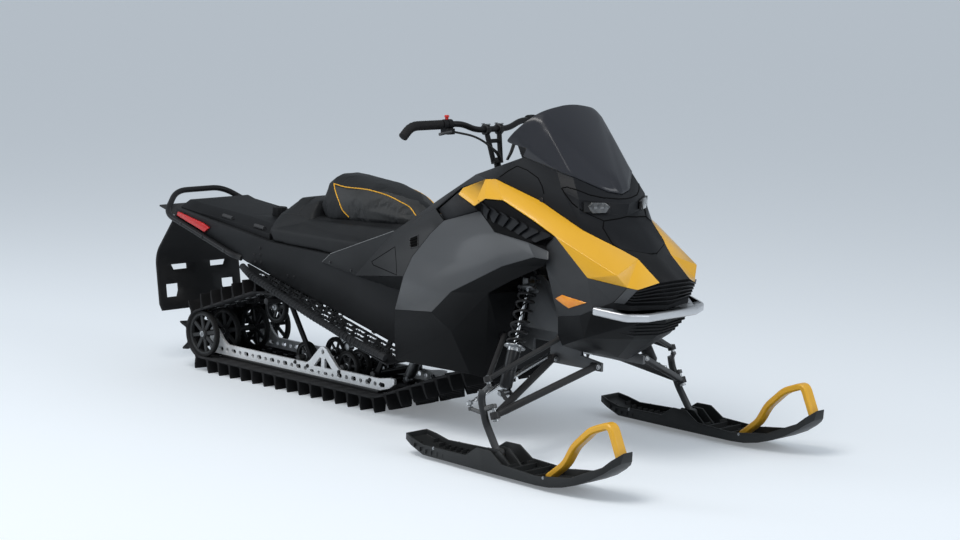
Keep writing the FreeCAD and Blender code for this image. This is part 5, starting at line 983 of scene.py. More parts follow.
# Seat base: a foam saddle over the tank with a stitched vinyl cover, whose tail carries a
# passenger's pad or a bag. The vinyl has a fine grain and a low sheen.
def seat_vinyl_finish(name, colour, shade):
    """Grained vinyl: small closed cells over a soft wander of shade."""
    material = finish(name, colour, shade, 0.52, 1500, 0.0004, gloss=0.2, patch=8)
    tree = material.node_tree
    cells = tree.nodes.new("ShaderNodeTexVoronoi")
    cells.inputs["Scale"].default_value = 620
    place = next(node for node in tree.nodes if node.type == "TEX_COORD")
    tree.links.new(place.outputs["Object"], cells.inputs["Vector"])
    bump = next(node for node in tree.nodes if node.type == "BUMP")
    grained = tree.nodes.new("ShaderNodeBump")
    grained.inputs["Strength"].default_value = 0.3
    grained.inputs["Distance"].default_value = 0.0005
    tree.links.new(cells.outputs["Distance"], grained.inputs["Height"])
    tree.links.new(bump.outputs["Normal"], grained.inputs["Normal"])
    tree.links.new(grained.outputs["Normal"], tree.nodes["Principled BSDF"].inputs["Normal"])
    return material


seat_dark = seat_vinyl_finish(
    "dark seat vinyl", (0.0112, 0.0120, 0.0132), (0.0175, 0.0186, 0.0200)
)
seat_grey = seat_vinyl_finish("grey seat vinyl", (0.034, 0.035, 0.0355), (0.048, 0.049, 0.050))
SWELLING_FRAMES = 20


def upholstered(name, node, material, shrink, travel, pressure, voxel, floor_z):
    """Blow a node's shape up as foam under a cover. It first shrinks, then swells by travel at
    most, and what lies below floor_z stays as it is."""
    shape = cast_shape(node)
    mesh = bpy.data.meshes.new(name)
    shape.normal_update()
    for vert in shape.verts:
        if vert.co.z > floor_z:
            vert.co -= vert.normal * shrink
    shape.to_mesh(mesh)
    shape.free()
    piece = bpy.data.objects.new(name, mesh)
    bpy.context.scene.collection.objects.link(piece)
    remesh = piece.modifiers.new("foam cells", "REMESH")
    remesh.mode = "VOXEL"
    remesh.voxel_size = voxel
    remesh.use_smooth_shade = True
    soften = piece.modifiers.new("rounded foam", "SMOOTH")
    soften.factor = 0.5
    soften.iterations = 8
    depsgraph = bpy.context.evaluated_depsgraph_get()
    piece.data = bpy.data.meshes.new_from_object(piece.evaluated_get(depsgraph))
    piece.modifiers.clear()
    rest = [vert.co.copy() for vert in piece.data.vertices]
    held = piece.vertex_groups.new(name="held")
    for vert in piece.data.vertices:
        if vert.co.z < floor_z:
            held.add([vert.index], 1.0, "REPLACE")
    cloth = piece.modifiers.new("cover", "CLOTH")
    cloth.settings.quality = 5
    cloth.settings.mass = 0.3
    cloth.settings.tension_stiffness = 15
    cloth.settings.compression_stiffness = 15
    cloth.settings.bending_stiffness = 0.5
    cloth.settings.use_pressure = True
    cloth.settings.uniform_pressure_force = pressure
    cloth.settings.vertex_group_mass = "held"
    cloth.settings.effector_weights.gravity = 0
    cloth.collision_settings.use_collision = False
    cloth.collision_settings.use_self_collision = False
    cloth.point_cache.frame_start = 1
    cloth.point_cache.frame_end = SWELLING_FRAMES
    for step in range(1, SWELLING_FRAMES + 1):
        bpy.context.scene.frame_set(step)
    depsgraph = bpy.context.evaluated_depsgraph_get()
    swollen = piece.evaluated_get(depsgraph)
    places = [vert.co.copy() for vert in swollen.data.vertices]
    piece.modifiers.clear()
    bpy.context.scene.frame_set(1)
    for vert, start, end in zip(piece.data.vertices, rest, places):
        shift = end - start
        if shift.length > travel:
            shift = shift.normalized() * travel
        vert.co = start + shift
    for face in piece.data.polygons:
        face.use_smooth = True
    piece.data.materials.clear()
    piece.data.materials.append(material)
    finer = piece.modifiers.new("finer cover", "SUBSURF")
    finer.levels = finer.render_levels = 1
    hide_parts(node)
    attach(piece, "chassis")
    return piece


saddle = upholstered(
    "seat_saddle", "seat_base", seat_dark, shrink=0.004, travel=0.007,
    pressure=3.0, voxel=0.007, floor_z=0.640,
)


# Seat cushion: a tall narrow foam cushion, its grey side panels sewn to a darker top with
# a raised yellow piping in the seam.
cushion = upholstered(
    "seat_cushion_cover", "seat_cushion", seat_grey, shrink=0.003, travel=0.024,
    pressure=7.0, voxel=0.005, floor_z=0.700,
)
cushion.data.materials.append(seat_dark)
SEAM_CORNER = (-0.437, 0.085, 0.8262)
SEAM = (
    SEAM_CORNER, (-0.390, 0.092, 0.8215), (-0.3443, 0.094, 0.8191), (-0.245, 0.096, 0.824),
    (-0.1548, 0.092, 0.823), (-0.0912, 0.088, 0.812), (-0.040, 0.084, 0.796),
    (0.010, 0.078, 0.770), (0.036, 0.072, 0.742),
)
REAR_SEAM = (
    SEAM_CORNER, (-0.4025, 0.105, 0.7994), (-0.364, 0.125, 0.7706), (-0.3401, 0.135, 0.7297),
    (-0.326, 0.130, 0.706),
)


def seam_height(x):
    """Height of the side seam at a distance along the cushion."""
    for (x0, _, z0), (x1, _, z1) in zip(SEAM, SEAM[1:]):
        if x0 <= x <= x1:
            return z0 + (z1 - z0) * (x - x0) / (x1 - x0)
    return SEAM[-1][2]


def rear_seam_x(z):
    """Where the rear seam runs at a height."""
    for (x0, _, z0), (x1, _, z1) in zip(REAR_SEAM, REAR_SEAM[1:]):
        if z1 <= z <= z0:
            return x0 + (x1 - x0) * (z0 - z) / (z0 - z1)
    return REAR_SEAM[-1][0]


for face in cushion.data.polygons:
    x, _, z = face.center
    below_seam = z < seam_height(max(x, SEAM_CORNER[0]))
    before_rear_seam = x > rear_seam_x(min(max(z, 0.706), 0.826))
    face.material_index = 0 if below_seam and before_rear_seam else 1


def on_cover(points, tree, lift, steps=10):
    """A fine line through points, laid on a cover and raised a little above it."""
    line = []
    for before, after in zip(points, points[1:]):
        for step in range(steps):
            guess = Vector(before).lerp(Vector(after), step / steps)
            spot, normal, _, _ = tree.find_nearest(guess)
            line.append(spot + normal * lift)
    spot, normal, _, _ = tree.find_nearest(Vector(points[-1]))
    return line + [spot + normal * lift]


def sewn(points, tree, lift):
    """A line along a cover with its small steps evened out."""
    line = on_cover(points, tree, lift)
    for _ in range(4):
        line = [line[0]] + [
            (before + here * 2 + after) / 4 for before, here, after in zip(line, line[1:], line[2:])
        ] + [line[-1]]
    return line


piping = finish(
    "yellow piping", (0.72, 0.36, 0.02), (0.82, 0.43, 0.03), 0.45, 900, 0.0003, patch=20
)
depsgraph = bpy.context.evaluated_depsgraph_get()
cover_tree = BVHTree.FromObject(cushion, depsgraph)
shape = bmesh.new()
for side in (-1, 1):
    for points in (SEAM, REAR_SEAM):
        tube(shape, sewn(on_side(points, side), cover_tree, 0.0008), 0.0023, 8)
fit_piece("seat_piping", shape, "chassis", piping, sharp=60)
TAIL_SEAM = (
    (-0.690, 0.165, 0.700), (-0.620, 0.155, 0.705), (-0.560, 0.150, 0.702), (-0.520, 0.150, 0.692),
)
saddle_tree = BVHTree.FromObject(saddle, depsgraph)
stitches = bmesh.new()
for points, tree in (
    (((-0.437, -0.085, 0.8262), (-0.444, -0.05, 0.87), (-0.446, 0.0, 0.88), (-0.444, 0.05, 0.87),
      SEAM_CORNER), cover_tree),
    (on_side(TAIL_SEAM, -1), saddle_tree),
    (TAIL_SEAM, saddle_tree),
    (((-0.585, -0.15, 0.71), (-0.580, -0.08, 0.775), (-0.580, 0.0, 0.775), (-0.580, 0.08, 0.775),
      (-0.585, 0.15, 0.71)), saddle_tree),
):
    tube(stitches, sewn(points, tree, -0.0002), 0.0016, 8)
seam_thread = finish(
    "black seam thread", (0.008, 0.008, 0.008), (0.014, 0.014, 0.014), 0.6, 900, 0.0003
)
fit_piece("seat_seams", stitches, "chassis", seam_thread, sharp=60)


# Console: the moulded cover over the tank between seat and hood. It is charcoal plastic, and
# hidden clips hold it.
moulded("tank_console", "console", "chassis", moulded_charcoal, 0.0018, 10)


# Side covers: thin mouldings between tunnel, console and side panel. Each has a pale line of
# painted highlight along its top edge, two bolts at its tail and a shallow pressed outline
# drawn as a dark line of painted shade.
GROOVE_SINK = 0.0003


def groove(shape, points, side, tree, radius):
    """Add a fine painted-shade line along left-hand points, half sunk into the surface under it."""
    tube(shape, on_cover(on_side(points, side), tree, -GROOVE_SINK, 8), radius, 6)


cover_black = finish(
    "side cover black", (0.0125, 0.013, 0.014), (0.020, 0.021, 0.0225), 0.4, 1000, 0.0005,
    worn=(0.07, 0.07, 0.072), gloss=0.2,
)
# Painted shade: near black for gaps, grooves, and the intakes' blades and openings.
painted_shade_black = finish(
    "painted gap and opening shade", (0.003, 0.003, 0.003), (0.005, 0.005, 0.005), 0.8, 500, 0.0002, gloss=0.05
)
# Painted highlight: a pale line where light catches each side cover's top edge.
painted_highlight_line = finish(
    "painted edge highlight", (0.22, 0.225, 0.23), (0.30, 0.305, 0.31), 0.35, 600, 0.0002
)
covers = moulded(
    "side_cover_shells", "side_covers", "chassis", cover_black, 0.0014, 10
)
cover_tree = BVHTree.FromObject(covers, bpy.context.evaluated_depsgraph_get())
PRESSED_OUTLINE = (
    (-0.0492, 0.2381, 0.5833), (0.1035, 0.2604, 0.6571), (0.1747, 0.3149, 0.5663),
    (-0.0298, 0.2472, 0.5739), (-0.0492, 0.2381, 0.5833),
)
lines, edges, screws = bmesh.new(), bmesh.new(), bmesh.new()
for side in (-1, 1):
    groove(lines, PRESSED_OUTLINE, side, cover_tree, 0.0016)
    # The two pale lines along each cover's edge are painted highlight.
    for ends, radius in (
        (((-0.298, 0.2262, 0.5855), (0.063, 0.2305, 0.7085)), 0.0011),
        (((-0.298, 0.2275, 0.5845), (-0.346, 0.2275, 0.5492)), 0.0009),
    ):
        tube(edges, on_side(ends, side), radius, 8)
    for x, z in ((-0.300, 0.5509), (-0.1776, 0.5342)):
        bolt(screws, (x, side * 0.2279, z), (0, side, 0), 0.0052, 0.004)
fit_piece("side_cover_grooves", lines, "chassis", painted_shade_black, sharp=60)
fit_piece("side_cover_edge_highlights", edges, "chassis", painted_highlight_line, sharp=60)
fit_piece("side_cover_bolts", screws, "chassis", dark_zinc)
# The small square intake in each cover: a frame with three blades over its opening. Blades
# and a sheet over the opening are near black with painted shade.
INTAKE_CORNERS = (
    (0.193, 0.269, 0.698), (0.241, 0.272, 0.715), (0.269, 0.2975, 0.6775), (0.222, 0.2915, 0.666),
)
frames, blades, shade_sheets = bmesh.new(), bmesh.new(), bmesh.new()
for side in (-1, 1):
    corners = []
    for point in on_side(INTAKE_CORNERS, side):
        spot, normal, _, _ = cover_tree.find_nearest(point)
        corners.append(spot + normal * 0.0008)
    # A sheet of painted shade laid over the opening.
    face = [shade_sheets.verts.new(point) for point in corners]
    shade_sheets.faces.new(face if side > 0 else face[::-1])
    out = (corners[1] - corners[0]).cross(corners[3] - corners[0]).normalized()
    if out.y * side < 0:
        out = -out
    for index in range(4):
        tube(frames, [corners[index], corners[(index + 1) % 4]], 0.0022, 8)
    for share in (0.25, 0.5, 0.75):
        start = corners[0].lerp(corners[3], share) + out * 0.0012
        end = corners[1].lerp(corners[2], share) + out * 0.0012
        tube(blades, [start, end], 0.0018, 8)
fit_piece("intake_frames", frames, "chassis", cover_black, sharp=50)
fit_piece("intake_blades", blades, "chassis", painted_shade_black, sharp=50)
fit_piece("intake_opening_shade", shade_sheets, "chassis", painted_shade_black)


# Hood: the one-piece black cover over the engine, from the rider's knees to the lamps, with
# a lift-off panel on each flank held by a quarter-turn screw. Fine gaps mark the lamp brow;
# they are drawn as near black lines of painted shade.
hood_black = finish(
    "hood black", (0.0095, 0.0102, 0.0118), (0.0145, 0.0155, 0.0178), 0.42, 1200, 0.0004,
    worn=(0.030, 0.031, 0.033), gloss=0.13, patch=3,
)
hood = moulded("hood_shell", "hood", "chassis", hood_black, 0.0018, 26)
hood_tree = BVHTree.FromObject(hood, bpy.context.evaluated_depsgraph_get())
HOOD_GAPS = (
    (0.0018, (
        (0.5901, 0.2119, 0.9482), (0.6216, 0.2047, 0.9711), (0.6579, 0.1976, 0.9909),
        (0.7039, 0.1949, 0.9806), (0.7524, 0.1899, 0.9567), (0.774, 0.1918, 0.9311),
        (0.7885, 0.1962, 0.9052),
    )),
    (0.0022, (
        (0.862, 0.1876, 0.9305), (0.8726, 0.1719, 0.9348), (0.9063, 0.158, 0.9267),
        (0.9353, 0.1242, 0.9100), (0.9625, 0.0836, 0.8996), (0.9802, 0.0323, 0.8944),
        (0.9840, 0.0, 0.8920),
    )),
    (0.0022, (
        (0.862, 0.1876, 0.9305), (0.882, 0.1859, 0.9093), (0.9049, 0.1799, 0.8838),
        (0.9345, 0.1663, 0.8618), (0.9544, 0.1377, 0.8447), (0.9859, 0.1079, 0.8252),
        (0.9951, 0.0515, 0.8288), (0.9930, 0.0, 0.8330),
    )),
    (0.0022, (
        (0.9859, 0.1079, 0.8252), (0.9985, 0.1244, 0.8038), (1.0421, 0.1257, 0.7575),
        (1.0700, 0.1180, 0.7350), (1.1050, 0.0700, 0.7220), (1.1200, 0.0151, 0.7194),
        (1.1210, 0.0, 0.7190),
    )),
)
lines, screws = bmesh.new(), bmesh.new()
for side in (-1, 1):
    for radius, points in HOOD_GAPS:
        groove(lines, points, side, hood_tree, radius)
    spot, normal, _, _ = hood_tree.find_nearest(Vector((0.7847, side * 0.2039, 0.8848)))
    turned(screws, spot, normal, [
        (-0.001, 0.0085), (0.002, 0.0085), (0.003, 0.007), (0.002, 0.004),
    ], 18)
fit_piece("hood_grooves", lines, "chassis", painted_shade_black, sharp=60)
fit_piece("hood_screws", screws, "chassis", dark_zinc)


# Nose cap, grille and chin: the black centre of the nose, five thin blades across the
# upper intake and four across the lower one, all clipped to the front frame.
nose_black = finish(
    "nose black", (0.0075, 0.0080, 0.0090), (0.0120, 0.0126, 0.0138), 0.4, 1100, 0.0004,
    worn=(0.035, 0.035, 0.037), gloss=0.12,
)
# Painted shade: a darker black for the backs deep in the grille and the vents.
recess_shade_black = finish(
    "painted recess shade", (0.0035, 0.0035, 0.004), (0.006, 0.006, 0.0065), 0.7, 700, 0.0006, gloss=0.1
)
moulded("nose_cap_shell", "nose_cap", "chassis", nose_black, 0.0014, 9)
# The grille's back is a darker black of painted shade, deep in the intake.
moulded("grille_back", "grille_shell", "chassis", recess_shade_black, 0.0012, 9)
moulded("chin_shell", "lower_nose", "chassis", nose_black, 0.0016, 9)


def blade(shape, points, out, up, deep, thick):
    """Add a flat bar along points, deep along out and thick along up."""
    out, up = Vector(out), Vector(up)
    rings = []
    for point in points:
        point = Vector(point)
        rings.append([
            shape.verts.new(point + out * deep * a + up * thick * b)
            for a, b in ((-1, -1), (1, -0.6), (1, 0.6), (-1, 1))
        ])
    enclose(shape, rings)
    bmesh.ops.recalc_face_normals(shape, faces=shape.faces)


GRILLE = (
    ((1.152, 0.174, 0.620), (1.182, 0.145, 0.617), (1.216, 0.076, 0.635), (1.222, 0.0, 0.638)),
    ((1.118, 0.186, 0.573), (1.152, 0.150, 0.561), (1.176, 0.076, 0.556), (1.189, 0.0, 0.553)),
    (0.10, 0.28, 0.46, 0.64, 0.82),
)
CHIN = (
    ((1.106, 0.178, 0.515), (1.164, 0.124, 0.499), (1.174, 0.062, 0.495), (1.181, 0.0, 0.491)),
    ((1.088, 0.150, 0.452), (1.121, 0.097, 0.440), (1.127, 0.048, 0.437), (1.133, 0.0, 0.434)),
    (0.16, 0.38, 0.60, 0.82),
)
PROUD = Vector((0.0015, 0, 0))
shape = bmesh.new()
for top, low, shares in (GRILLE, CHIN):
    for share in shares:
        half = [Vector(a).lerp(Vector(b), share) + PROUD for a, b in zip(top, low)]
        line = on_side(half, -1) + half[-2::-1]
        blade(shape, line, (1, 0, 0.1), (0, 0, 1), 0.0055, 0.0032)
fit_piece("intake_slats", shape, "chassis", nose_black, edge=0.0008, sharp=30)
# The grey strip on each side of the upper intake.
panel_grey = finish(
    "grey panel paint", (0.044, 0.047, 0.051), (0.055, 0.058, 0.063), 0.42, 1400, 0.0003,
    coat=0.15, worn=(0.2, 0.2, 0.2), gloss=0.3, patch=3,
)
STRIP_CORNERS = (
    (1.1165, 0.1905, 0.5700), (1.1590, 0.1765, 0.6205), (1.1815, 0.1465, 0.6170),
    (1.1400, 0.1660, 0.5660),
)
shape = bmesh.new()
for side in (-1, 1):
    out = Vector((1, side, 0)).normalized()
    low, high = (
        [shape.verts.new(point + out * lift) for point in on_side(STRIP_CORNERS, side)]
        for lift in (-0.002, 0.0035)
    )
    shape.faces.new(low)
    shape.faces.new(high[::-1])
    for index in range(4):
        after = (index + 1) % 4
        shape.faces.new((low[index], high[index], high[after], low[after]))
bmesh.ops.recalc_face_normals(shape, faces=shape.faces)
fit_piece("intake_side_strips", shape, "chassis", panel_grey, edge=0.0012)


# Fairings: the bright yellow bands from the console over the vents to the nose, one each
# side, moulded in colour and clear coated.
fairing_yellow = finish(
    "fairing yellow", (0.80, 0.415, 0.022), (0.84, 0.45, 0.030), 0.33, 1400, 0.0002,
    coat=0.35, worn=(0.9, 0.6, 0.2), gloss=0.3, patch=2.5,
)
moulded("fairing_bands", "fairings", "chassis", fairing_yellow, 0.0024, 15)


# Knee panels: thin black sheets that close the body between each fairing's tail, the side
# panel's upper edge and the console. They tuck behind the panels they meet.
KNEE_CORNERS = {
    "shoulder": (0.392, 0.196, 0.890), "tail": (0.440, 0.254, 0.886), "hook": (0.537, 0.276, 0.850),
    "peak": (0.547, 0.252, 0.828), "back": (0.371, 0.262, 0.777), "tank": (0.300, 0.228, 0.808),
}
shape = bmesh.new()
for side in (-1, 1):
    made = {key: shape.verts.new(mirrored(point, side)) for key, point in KNEE_CORNERS.items()}
    for facet in (("shoulder", "tail", "tank"), ("tail", "back", "tank"), ("tail", "hook", "back"),
                  ("hook", "peak", "back")):
        shape.faces.new([made[key] for key in facet])
knee = fit_piece("knee_panels", shape, "chassis", moulded_black, sharp=20)
thicken(knee, "panel thickness", 0.004)


# Nose sides, side panels and lower pans: grey painted panels over the engine, their lower
# edge carried by black pans that keep snow out of the engine bay.
nose_side_black = finish(
    "nose side charcoal", (0.036, 0.0375, 0.040), (0.048, 0.050, 0.053), 0.44, 1100, 0.0004,
    worn=(0.07, 0.07, 0.07), gloss=0.2,
)
moulded("nose_side_shells", "nose_sides", "chassis", nose_side_black, 0.0018, 9)
moulded("side_panel_shells", "side_panels", "chassis", panel_grey, 0.0024, 9)
pan_black = finish(
    "pan black", (0.0048, 0.0051, 0.0056), (0.0078, 0.0082, 0.0090), 0.46, 1100, 0.0005,
    worn=(0.030, 0.030, 0.032), gloss=0.08,
)
moulded("lower_pan_shells", "lower_pans", "chassis", pan_black, 0.0022, 9)


# Vents: seven bent louvres in the long opening under each fairing let the engine's heat out.
# They are black plastic blades moulded on a back plate, whose darker black is painted shade.
vent = moulded("vent_backs", "vent_louvres", "chassis", recess_shade_black, 0.0008, 20)
vent_tree = BVHTree.FromObject(vent, bpy.context.evaluated_depsgraph_get())
VENT_TOP = Vector((0.560, 0, 0.866)), Vector((0.900, 0, 0.778))
VENT_LOW = Vector((0.570, 0, 0.815)), Vector((0.850, 0, 0.752))
LOUVRE_COUNT = 7
LOUVRE_THICK = 0.006
shape = bmesh.new()
for side in (-1, 1):
    for step in range(LOUVRE_COUNT):
        share = 0.04 + step * 0.145
        high = VENT_TOP[0].lerp(VENT_TOP[1], share)
        low = VENT_LOW[0].lerp(VENT_LOW[1], share)
        knee = high.lerp(low, 0.45) + Vector((0.024, 0, 0.008))
        width = (VENT_TOP[1] - VENT_TOP[0]) * 0.064
        rings = []
        for point, inset in ((high, 0.004), (high.lerp(knee, 0.5), 0.001), (knee, 0.0),
                             (knee.lerp(low, 0.5), 0.001), (low, 0.004)):
            ring = []
            for shift, out in ((-width, 0.001), (width, 0.011)):
                start = Vector((point.x + shift.x, side * 0.5, point.z + shift.z))
                spot, _, _, _ = vent_tree.ray_cast(start, Vector((0, -side, 0)))
                if spot is None:
                    guess = Vector((start.x, side * 0.275, start.z))
                    spot, _, _, _ = vent_tree.find_nearest(guess)
                    spot = Vector((start.x, spot.y, start.z))
                ring.append(spot + Vector((0, side * (out - inset), 0)))
            ring += [corner - Vector((0, side * LOUVRE_THICK, 0)) for corner in ring[::-1]]
            rings.append([shape.verts.new(point) for point in ring])
        enclose(shape, rings)
bmesh.ops.recalc_face_normals(shape, faces=shape.faces)
fit_piece("vent_blades", shape, "chassis", hood_black, edge=0.0010, sharp=25)


# Windshield and instrument pod: a smoked plastic screen folded in low facets, screwed to
# the hood, with the display pod behind it.
smoked = finish(
    "smoked screen", (0.019, 0.020, 0.0255), (0.025, 0.0265, 0.033), 0.3, 900, 0.0001,
    coat=0.25, gloss=0.3, patch=2,
)
shape = cast_shape("windshield")
held = shape.edges.layers.float.new("crease_edge")
for edge in shape.edges:
    if len(edge.link_faces) == 2:
        bend = math.degrees(edge.calc_face_angle(0))
        edge[held] = 0.55 if 14 < bend < 70 else (0.3 if bend >= 70 else 0.0)
        if bend >= 70 and max(vert.co.z for vert in edge.verts) < 1.03:
            edge[held] = 1.0
screen = fit_piece(
    "windshield_screen", shape, "chassis", smoked, ("windshield",), sharp=180
)
rounded = screen.modifiers.new("rounded screen", "SUBSURF")
rounded.levels = rounded.render_levels = 3
moulded("display_pod", "instrument_pod", "chassis", moulded_black, 0.004, 25)
display_glass = finish(
    "display glass", (0.006, 0.008, 0.010), (0.012, 0.015, 0.018), 0.08, 500, 0.0001, coat=0.8
)
low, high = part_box("instrument_pod")
tilt = math.radians(28)
shape = bmesh.new()
chunk(
    shape, ((low[0] + high[0]) / 2 - 0.014, 0, (low[2] + high[2]) / 2 + 0.006),
    ((math.cos(tilt), 0, -math.sin(tilt)), ACROSS, (math.sin(tilt), 0, math.cos(tilt))),
    (0.006, 0.058, 0.024),
)
fit_piece("display_face", shape, "chassis", display_glass, edge=0.002)


# Headlamps: two small dark lenses under the brow of the hood in black bezels, each with two
# grey diode modules set in its face.
lamp_glass = finish(
    "lamp glass", (0.022, 0.024, 0.026), (0.110, 0.115, 0.120), 0.10, 130, 0.0016, coat=1.0,
    patch=60,
)
lamp_bezel = finish(
    "lamp bezel", (0.005, 0.005, 0.0055), (0.009, 0.009, 0.010), 0.3, 600, 0.0003, gloss=0.3
)
diode = finish(
    "diode reflector", (0.16, 0.165, 0.17), (0.30, 0.305, 0.31), 0.2, 300, 0.0004, 0.5, coat=0.6
)
lamps = moulded("headlamp_housings", "headlamps", "chassis", lamp_bezel, 0.0012, 15)
lamp_tree = BVHTree.FromObject(lamps, bpy.context.evaluated_depsgraph_get())
LAMP_CORNERS = (
    (-0.041, 0.005), (-0.026, 0.018), (0.022, 0.017), (0.040, 0.003), (0.026, -0.018),
    (-0.024, -0.019),
)
glasses, diodes = bmesh.new(), bmesh.new()
for side in (-1, 1):
    spot, normal, _, _ = lamp_tree.find_nearest(Vector((0.975, side * 0.118, 0.869)))
    across = Vector((0, 0, 1)).cross(normal).normalized()
    if across.y * side > 0:
        across = -across
    upward = normal.cross(across)
    upward = upward if upward.z > 0 else -upward
    rings = [
        [glasses.verts.new(spot + across * a * grow + upward * b * grow + normal * lift)
         for a, b in LAMP_CORNERS]
        for lift, grow in ((-0.001, 1.0), (0.0022, 0.96), (0.0032, 0.86))
    ]
    for near, far in zip(rings, rings[1:]):
        bridge(glasses, near, far)
    glasses.faces.new(rings[-1])
    for shift in (-0.013, 0.010):
        centre = spot + across * shift + normal * 0.0028
        chunk(diodes, centre, (across, upward, normal), (0.0058, 0.0042, 0.0010))
bmesh.ops.recalc_face_normals(glasses, faces=glasses.faces)
fit_piece("headlamp_glasses", glasses, "chassis", lamp_glass, edge=0.0006)
fit_piece("headlamp_diodes", diodes, "chassis", diode, edge=0.0006)


# Side reflectors: amber plastic prisms let into the nose sides, glossy over a cut pattern
# that throws light back.
amber = finish(
    "amber reflector", (0.85, 0.27, 0.012), (0.95, 0.36, 0.02), 0.18, 90, 0.0014, coat=0.6,
    patch=40,
)
moulded("amber_reflectors", "side_reflectors", "chassis", amber, 0.0012, 15)


# Front bumper: one bent alloy blade round the nose, with well rounded edges. It is satin
# anodised and bolted at its ends.
blade_alloy = finish(
    "satin bumper alloy", (0.56, 0.57, 0.59), (0.66, 0.67, 0.69), 0.36, 300, 0.0002, 0.75,
    coat=0.1, stretch=(1, 0.1, 1), patch=3,
)
bumper = moulded(
    "front_bumper_blade", "front_bumper", "chassis", blade_alloy, 0.0055, 25
)
bumper.modifiers["eased edges"].segments = 4


# Front suspension: welded tube arms from the front frame to each spindle, with a coil-over
# shock above the lower one. Arms, shock bodies and coils are black, the shock ends bare alloy.
LOWER_BALL, UPPER_BALL = Vector((0.854, 0.478, 0.184)), Vector((0.809, 0.470, 0.300))
LOWER_PIVOTS = ((0.977, 0.1253, 0.326), (0.778, 0.1253, 0.326))
UPPER_PIVOTS = ((0.881, 0.1963, 0.420), (0.622, 0.1963, 0.420))
KING = (UPPER_BALL - LOWER_BALL).normalized()
SHOCK_HEAD, SHOCK_FOOT = Vector((0.745, 0.214, 0.596)), Vector((0.800, 0.384, 0.241))
FORK_HALF = 0.0185
ALONG = Vector((1, 0, 0))
seat_share = (SHOCK_FOOT.y - LOWER_PIVOTS[1][1]) / (LOWER_BALL.y - LOWER_PIVOTS[1][1])
arms, joints, bodies, rods, caps, coils, collars = (bmesh.new() for _ in range(7))
for side in (-1, 1):
    lower, upper, king = on_side((LOWER_BALL, UPPER_BALL, KING), side)
    head, foot = on_side((SHOCK_HEAD, SHOCK_FOOT), side)
    for pivot in on_side(LOWER_PIVOTS, side):
        tube(arms, [pivot, pivot.lerp(lower, 0.9), lower], [0.013, 0.013, 0.0105], 20)
        boss(arms, pivot, ALONG, 0.030, 0.0135, 0.010, 0.0015)
        for end in (1, -1):
            bolt(joints, pivot + ALONG * end * 0.015, ALONG * end, 0.0075, 0.006)
    boss(arms, lower, king, 0.024, 0.017, 0.0155, 0.002, 24)
    seat = mirrored(LOWER_PIVOTS[1], side).lerp(lower, seat_share)
    for reach in (-FORK_HALF, FORK_HALF):
        fork = [seat + ACROSS * reach, foot + ACROSS * reach + Vector((0, 0, 0.011))]
        blade(arms, fork, ALONG, ACROSS, 0.011, 0.003)
    turned(joints, foot - ACROSS * 0.024, ACROSS, [
        (0, 0.004), (0.001, 0.008), (0.005, 0.008), (0.005, 0.0055), (0.043, 0.0055),
        (0.043, 0.008), (0.047, 0.008), (0.048, 0.004),
    ], 18)
    for pivot in on_side(UPPER_PIVOTS, side):
        tube(arms, [pivot, pivot.lerp(upper, 0.92), upper], [0.009, 0.009, 0.008], 18)
        boss(arms, pivot, ALONG, 0.026, 0.012, 0.009)
        bolt(joints, pivot + ALONG * 0.013, ALONG, 0.0065, 0.005)
    boss(arms, upper, king, 0.020, 0.015, 0.0135, 0.002, 24)
    # The shock: body below, rod above, a coil between two seats, an eye at each end.
    way = (foot - head).normalized()
    length = (foot - head).length
    body = length * 0.42
    turned(bodies, foot - way * 0.015, -way, [
        (0, 0.012), (0.003, 0.0195), (0.010, 0.0225), (0.060, 0.0225), (0.061, 0.0205),
        (0.064, 0.0205), (0.065, 0.0228), (body - 0.030, 0.0228), (body - 0.028, 0.0205),
        (body - 0.020, 0.0205), (body - 0.016, 0.015),
    ], 32)
    turned(rods, head + way * 0.012, way, [(0, 0.0078), (length - body, 0.0078)], 18)
    for end, out in ((head, way), (foot, -way)):
        boss(caps, end, ACROSS, 0.028, 0.0135, 0.009, sides=24)
        turned(caps, end + out * 0.009, out, [(0, 0.009), (0.010, 0.0105), (0.013, 0.009)], 18)
    for reach in (-FORK_HALF, FORK_HALF):
        fork = [head + Vector((0, reach, 0.018)), head + Vector((0, reach, -0.013))]
        blade(caps, fork, ALONG, ACROSS, 0.012, 0.0032)
    top, low = head + way * 0.026, head + way * length * 0.58
    turned(collars, top - way * 0.006, way, [
        (0, 0.030), (0.0015, 0.0375), (0.005, 0.0375), (0.006, 0.033),
    ], 32)
    turned(collars, low, way, [
        (0, 0.033), (0.001, 0.0375), (0.0045, 0.0375), (0.006, 0.024), (0.020, 0.0235),
    ], 32)
    coil_spring(coils, top + way * 0.004, low - way * 0.004, 0.029, 0.0049, 6.5)
fit_piece(
    "front_arm_tubes", arms, "chassis", frame_black, ("suspension_arms",), 0.0, 35
)
fit_piece("front_arm_bolts", joints, "chassis", zinc)
shock_black = finish(
    "black anodised body", (0.016, 0.0165, 0.018), (0.026, 0.027, 0.029), 0.3, 700, 0.0002, 0.4,
    gloss=0.3,
)
for piece_name, built, material, sharp in (
    ("ski_shock_bodies", bodies, shock_black, 35), ("ski_shock_rods", rods, chrome_rod, 30),
    ("ski_shock_eyes", caps, shock_alloy, 30), ("ski_spring_seats", collars, shock_alloy, 35),
):
    fit_piece(
        piece_name, built, "chassis", material, ("ski_shocks",), sharp=sharp
    )
fit_piece(
    "ski_shock_coils", coils, "chassis", spring_black, ("ski_springs",), sharp=60
)


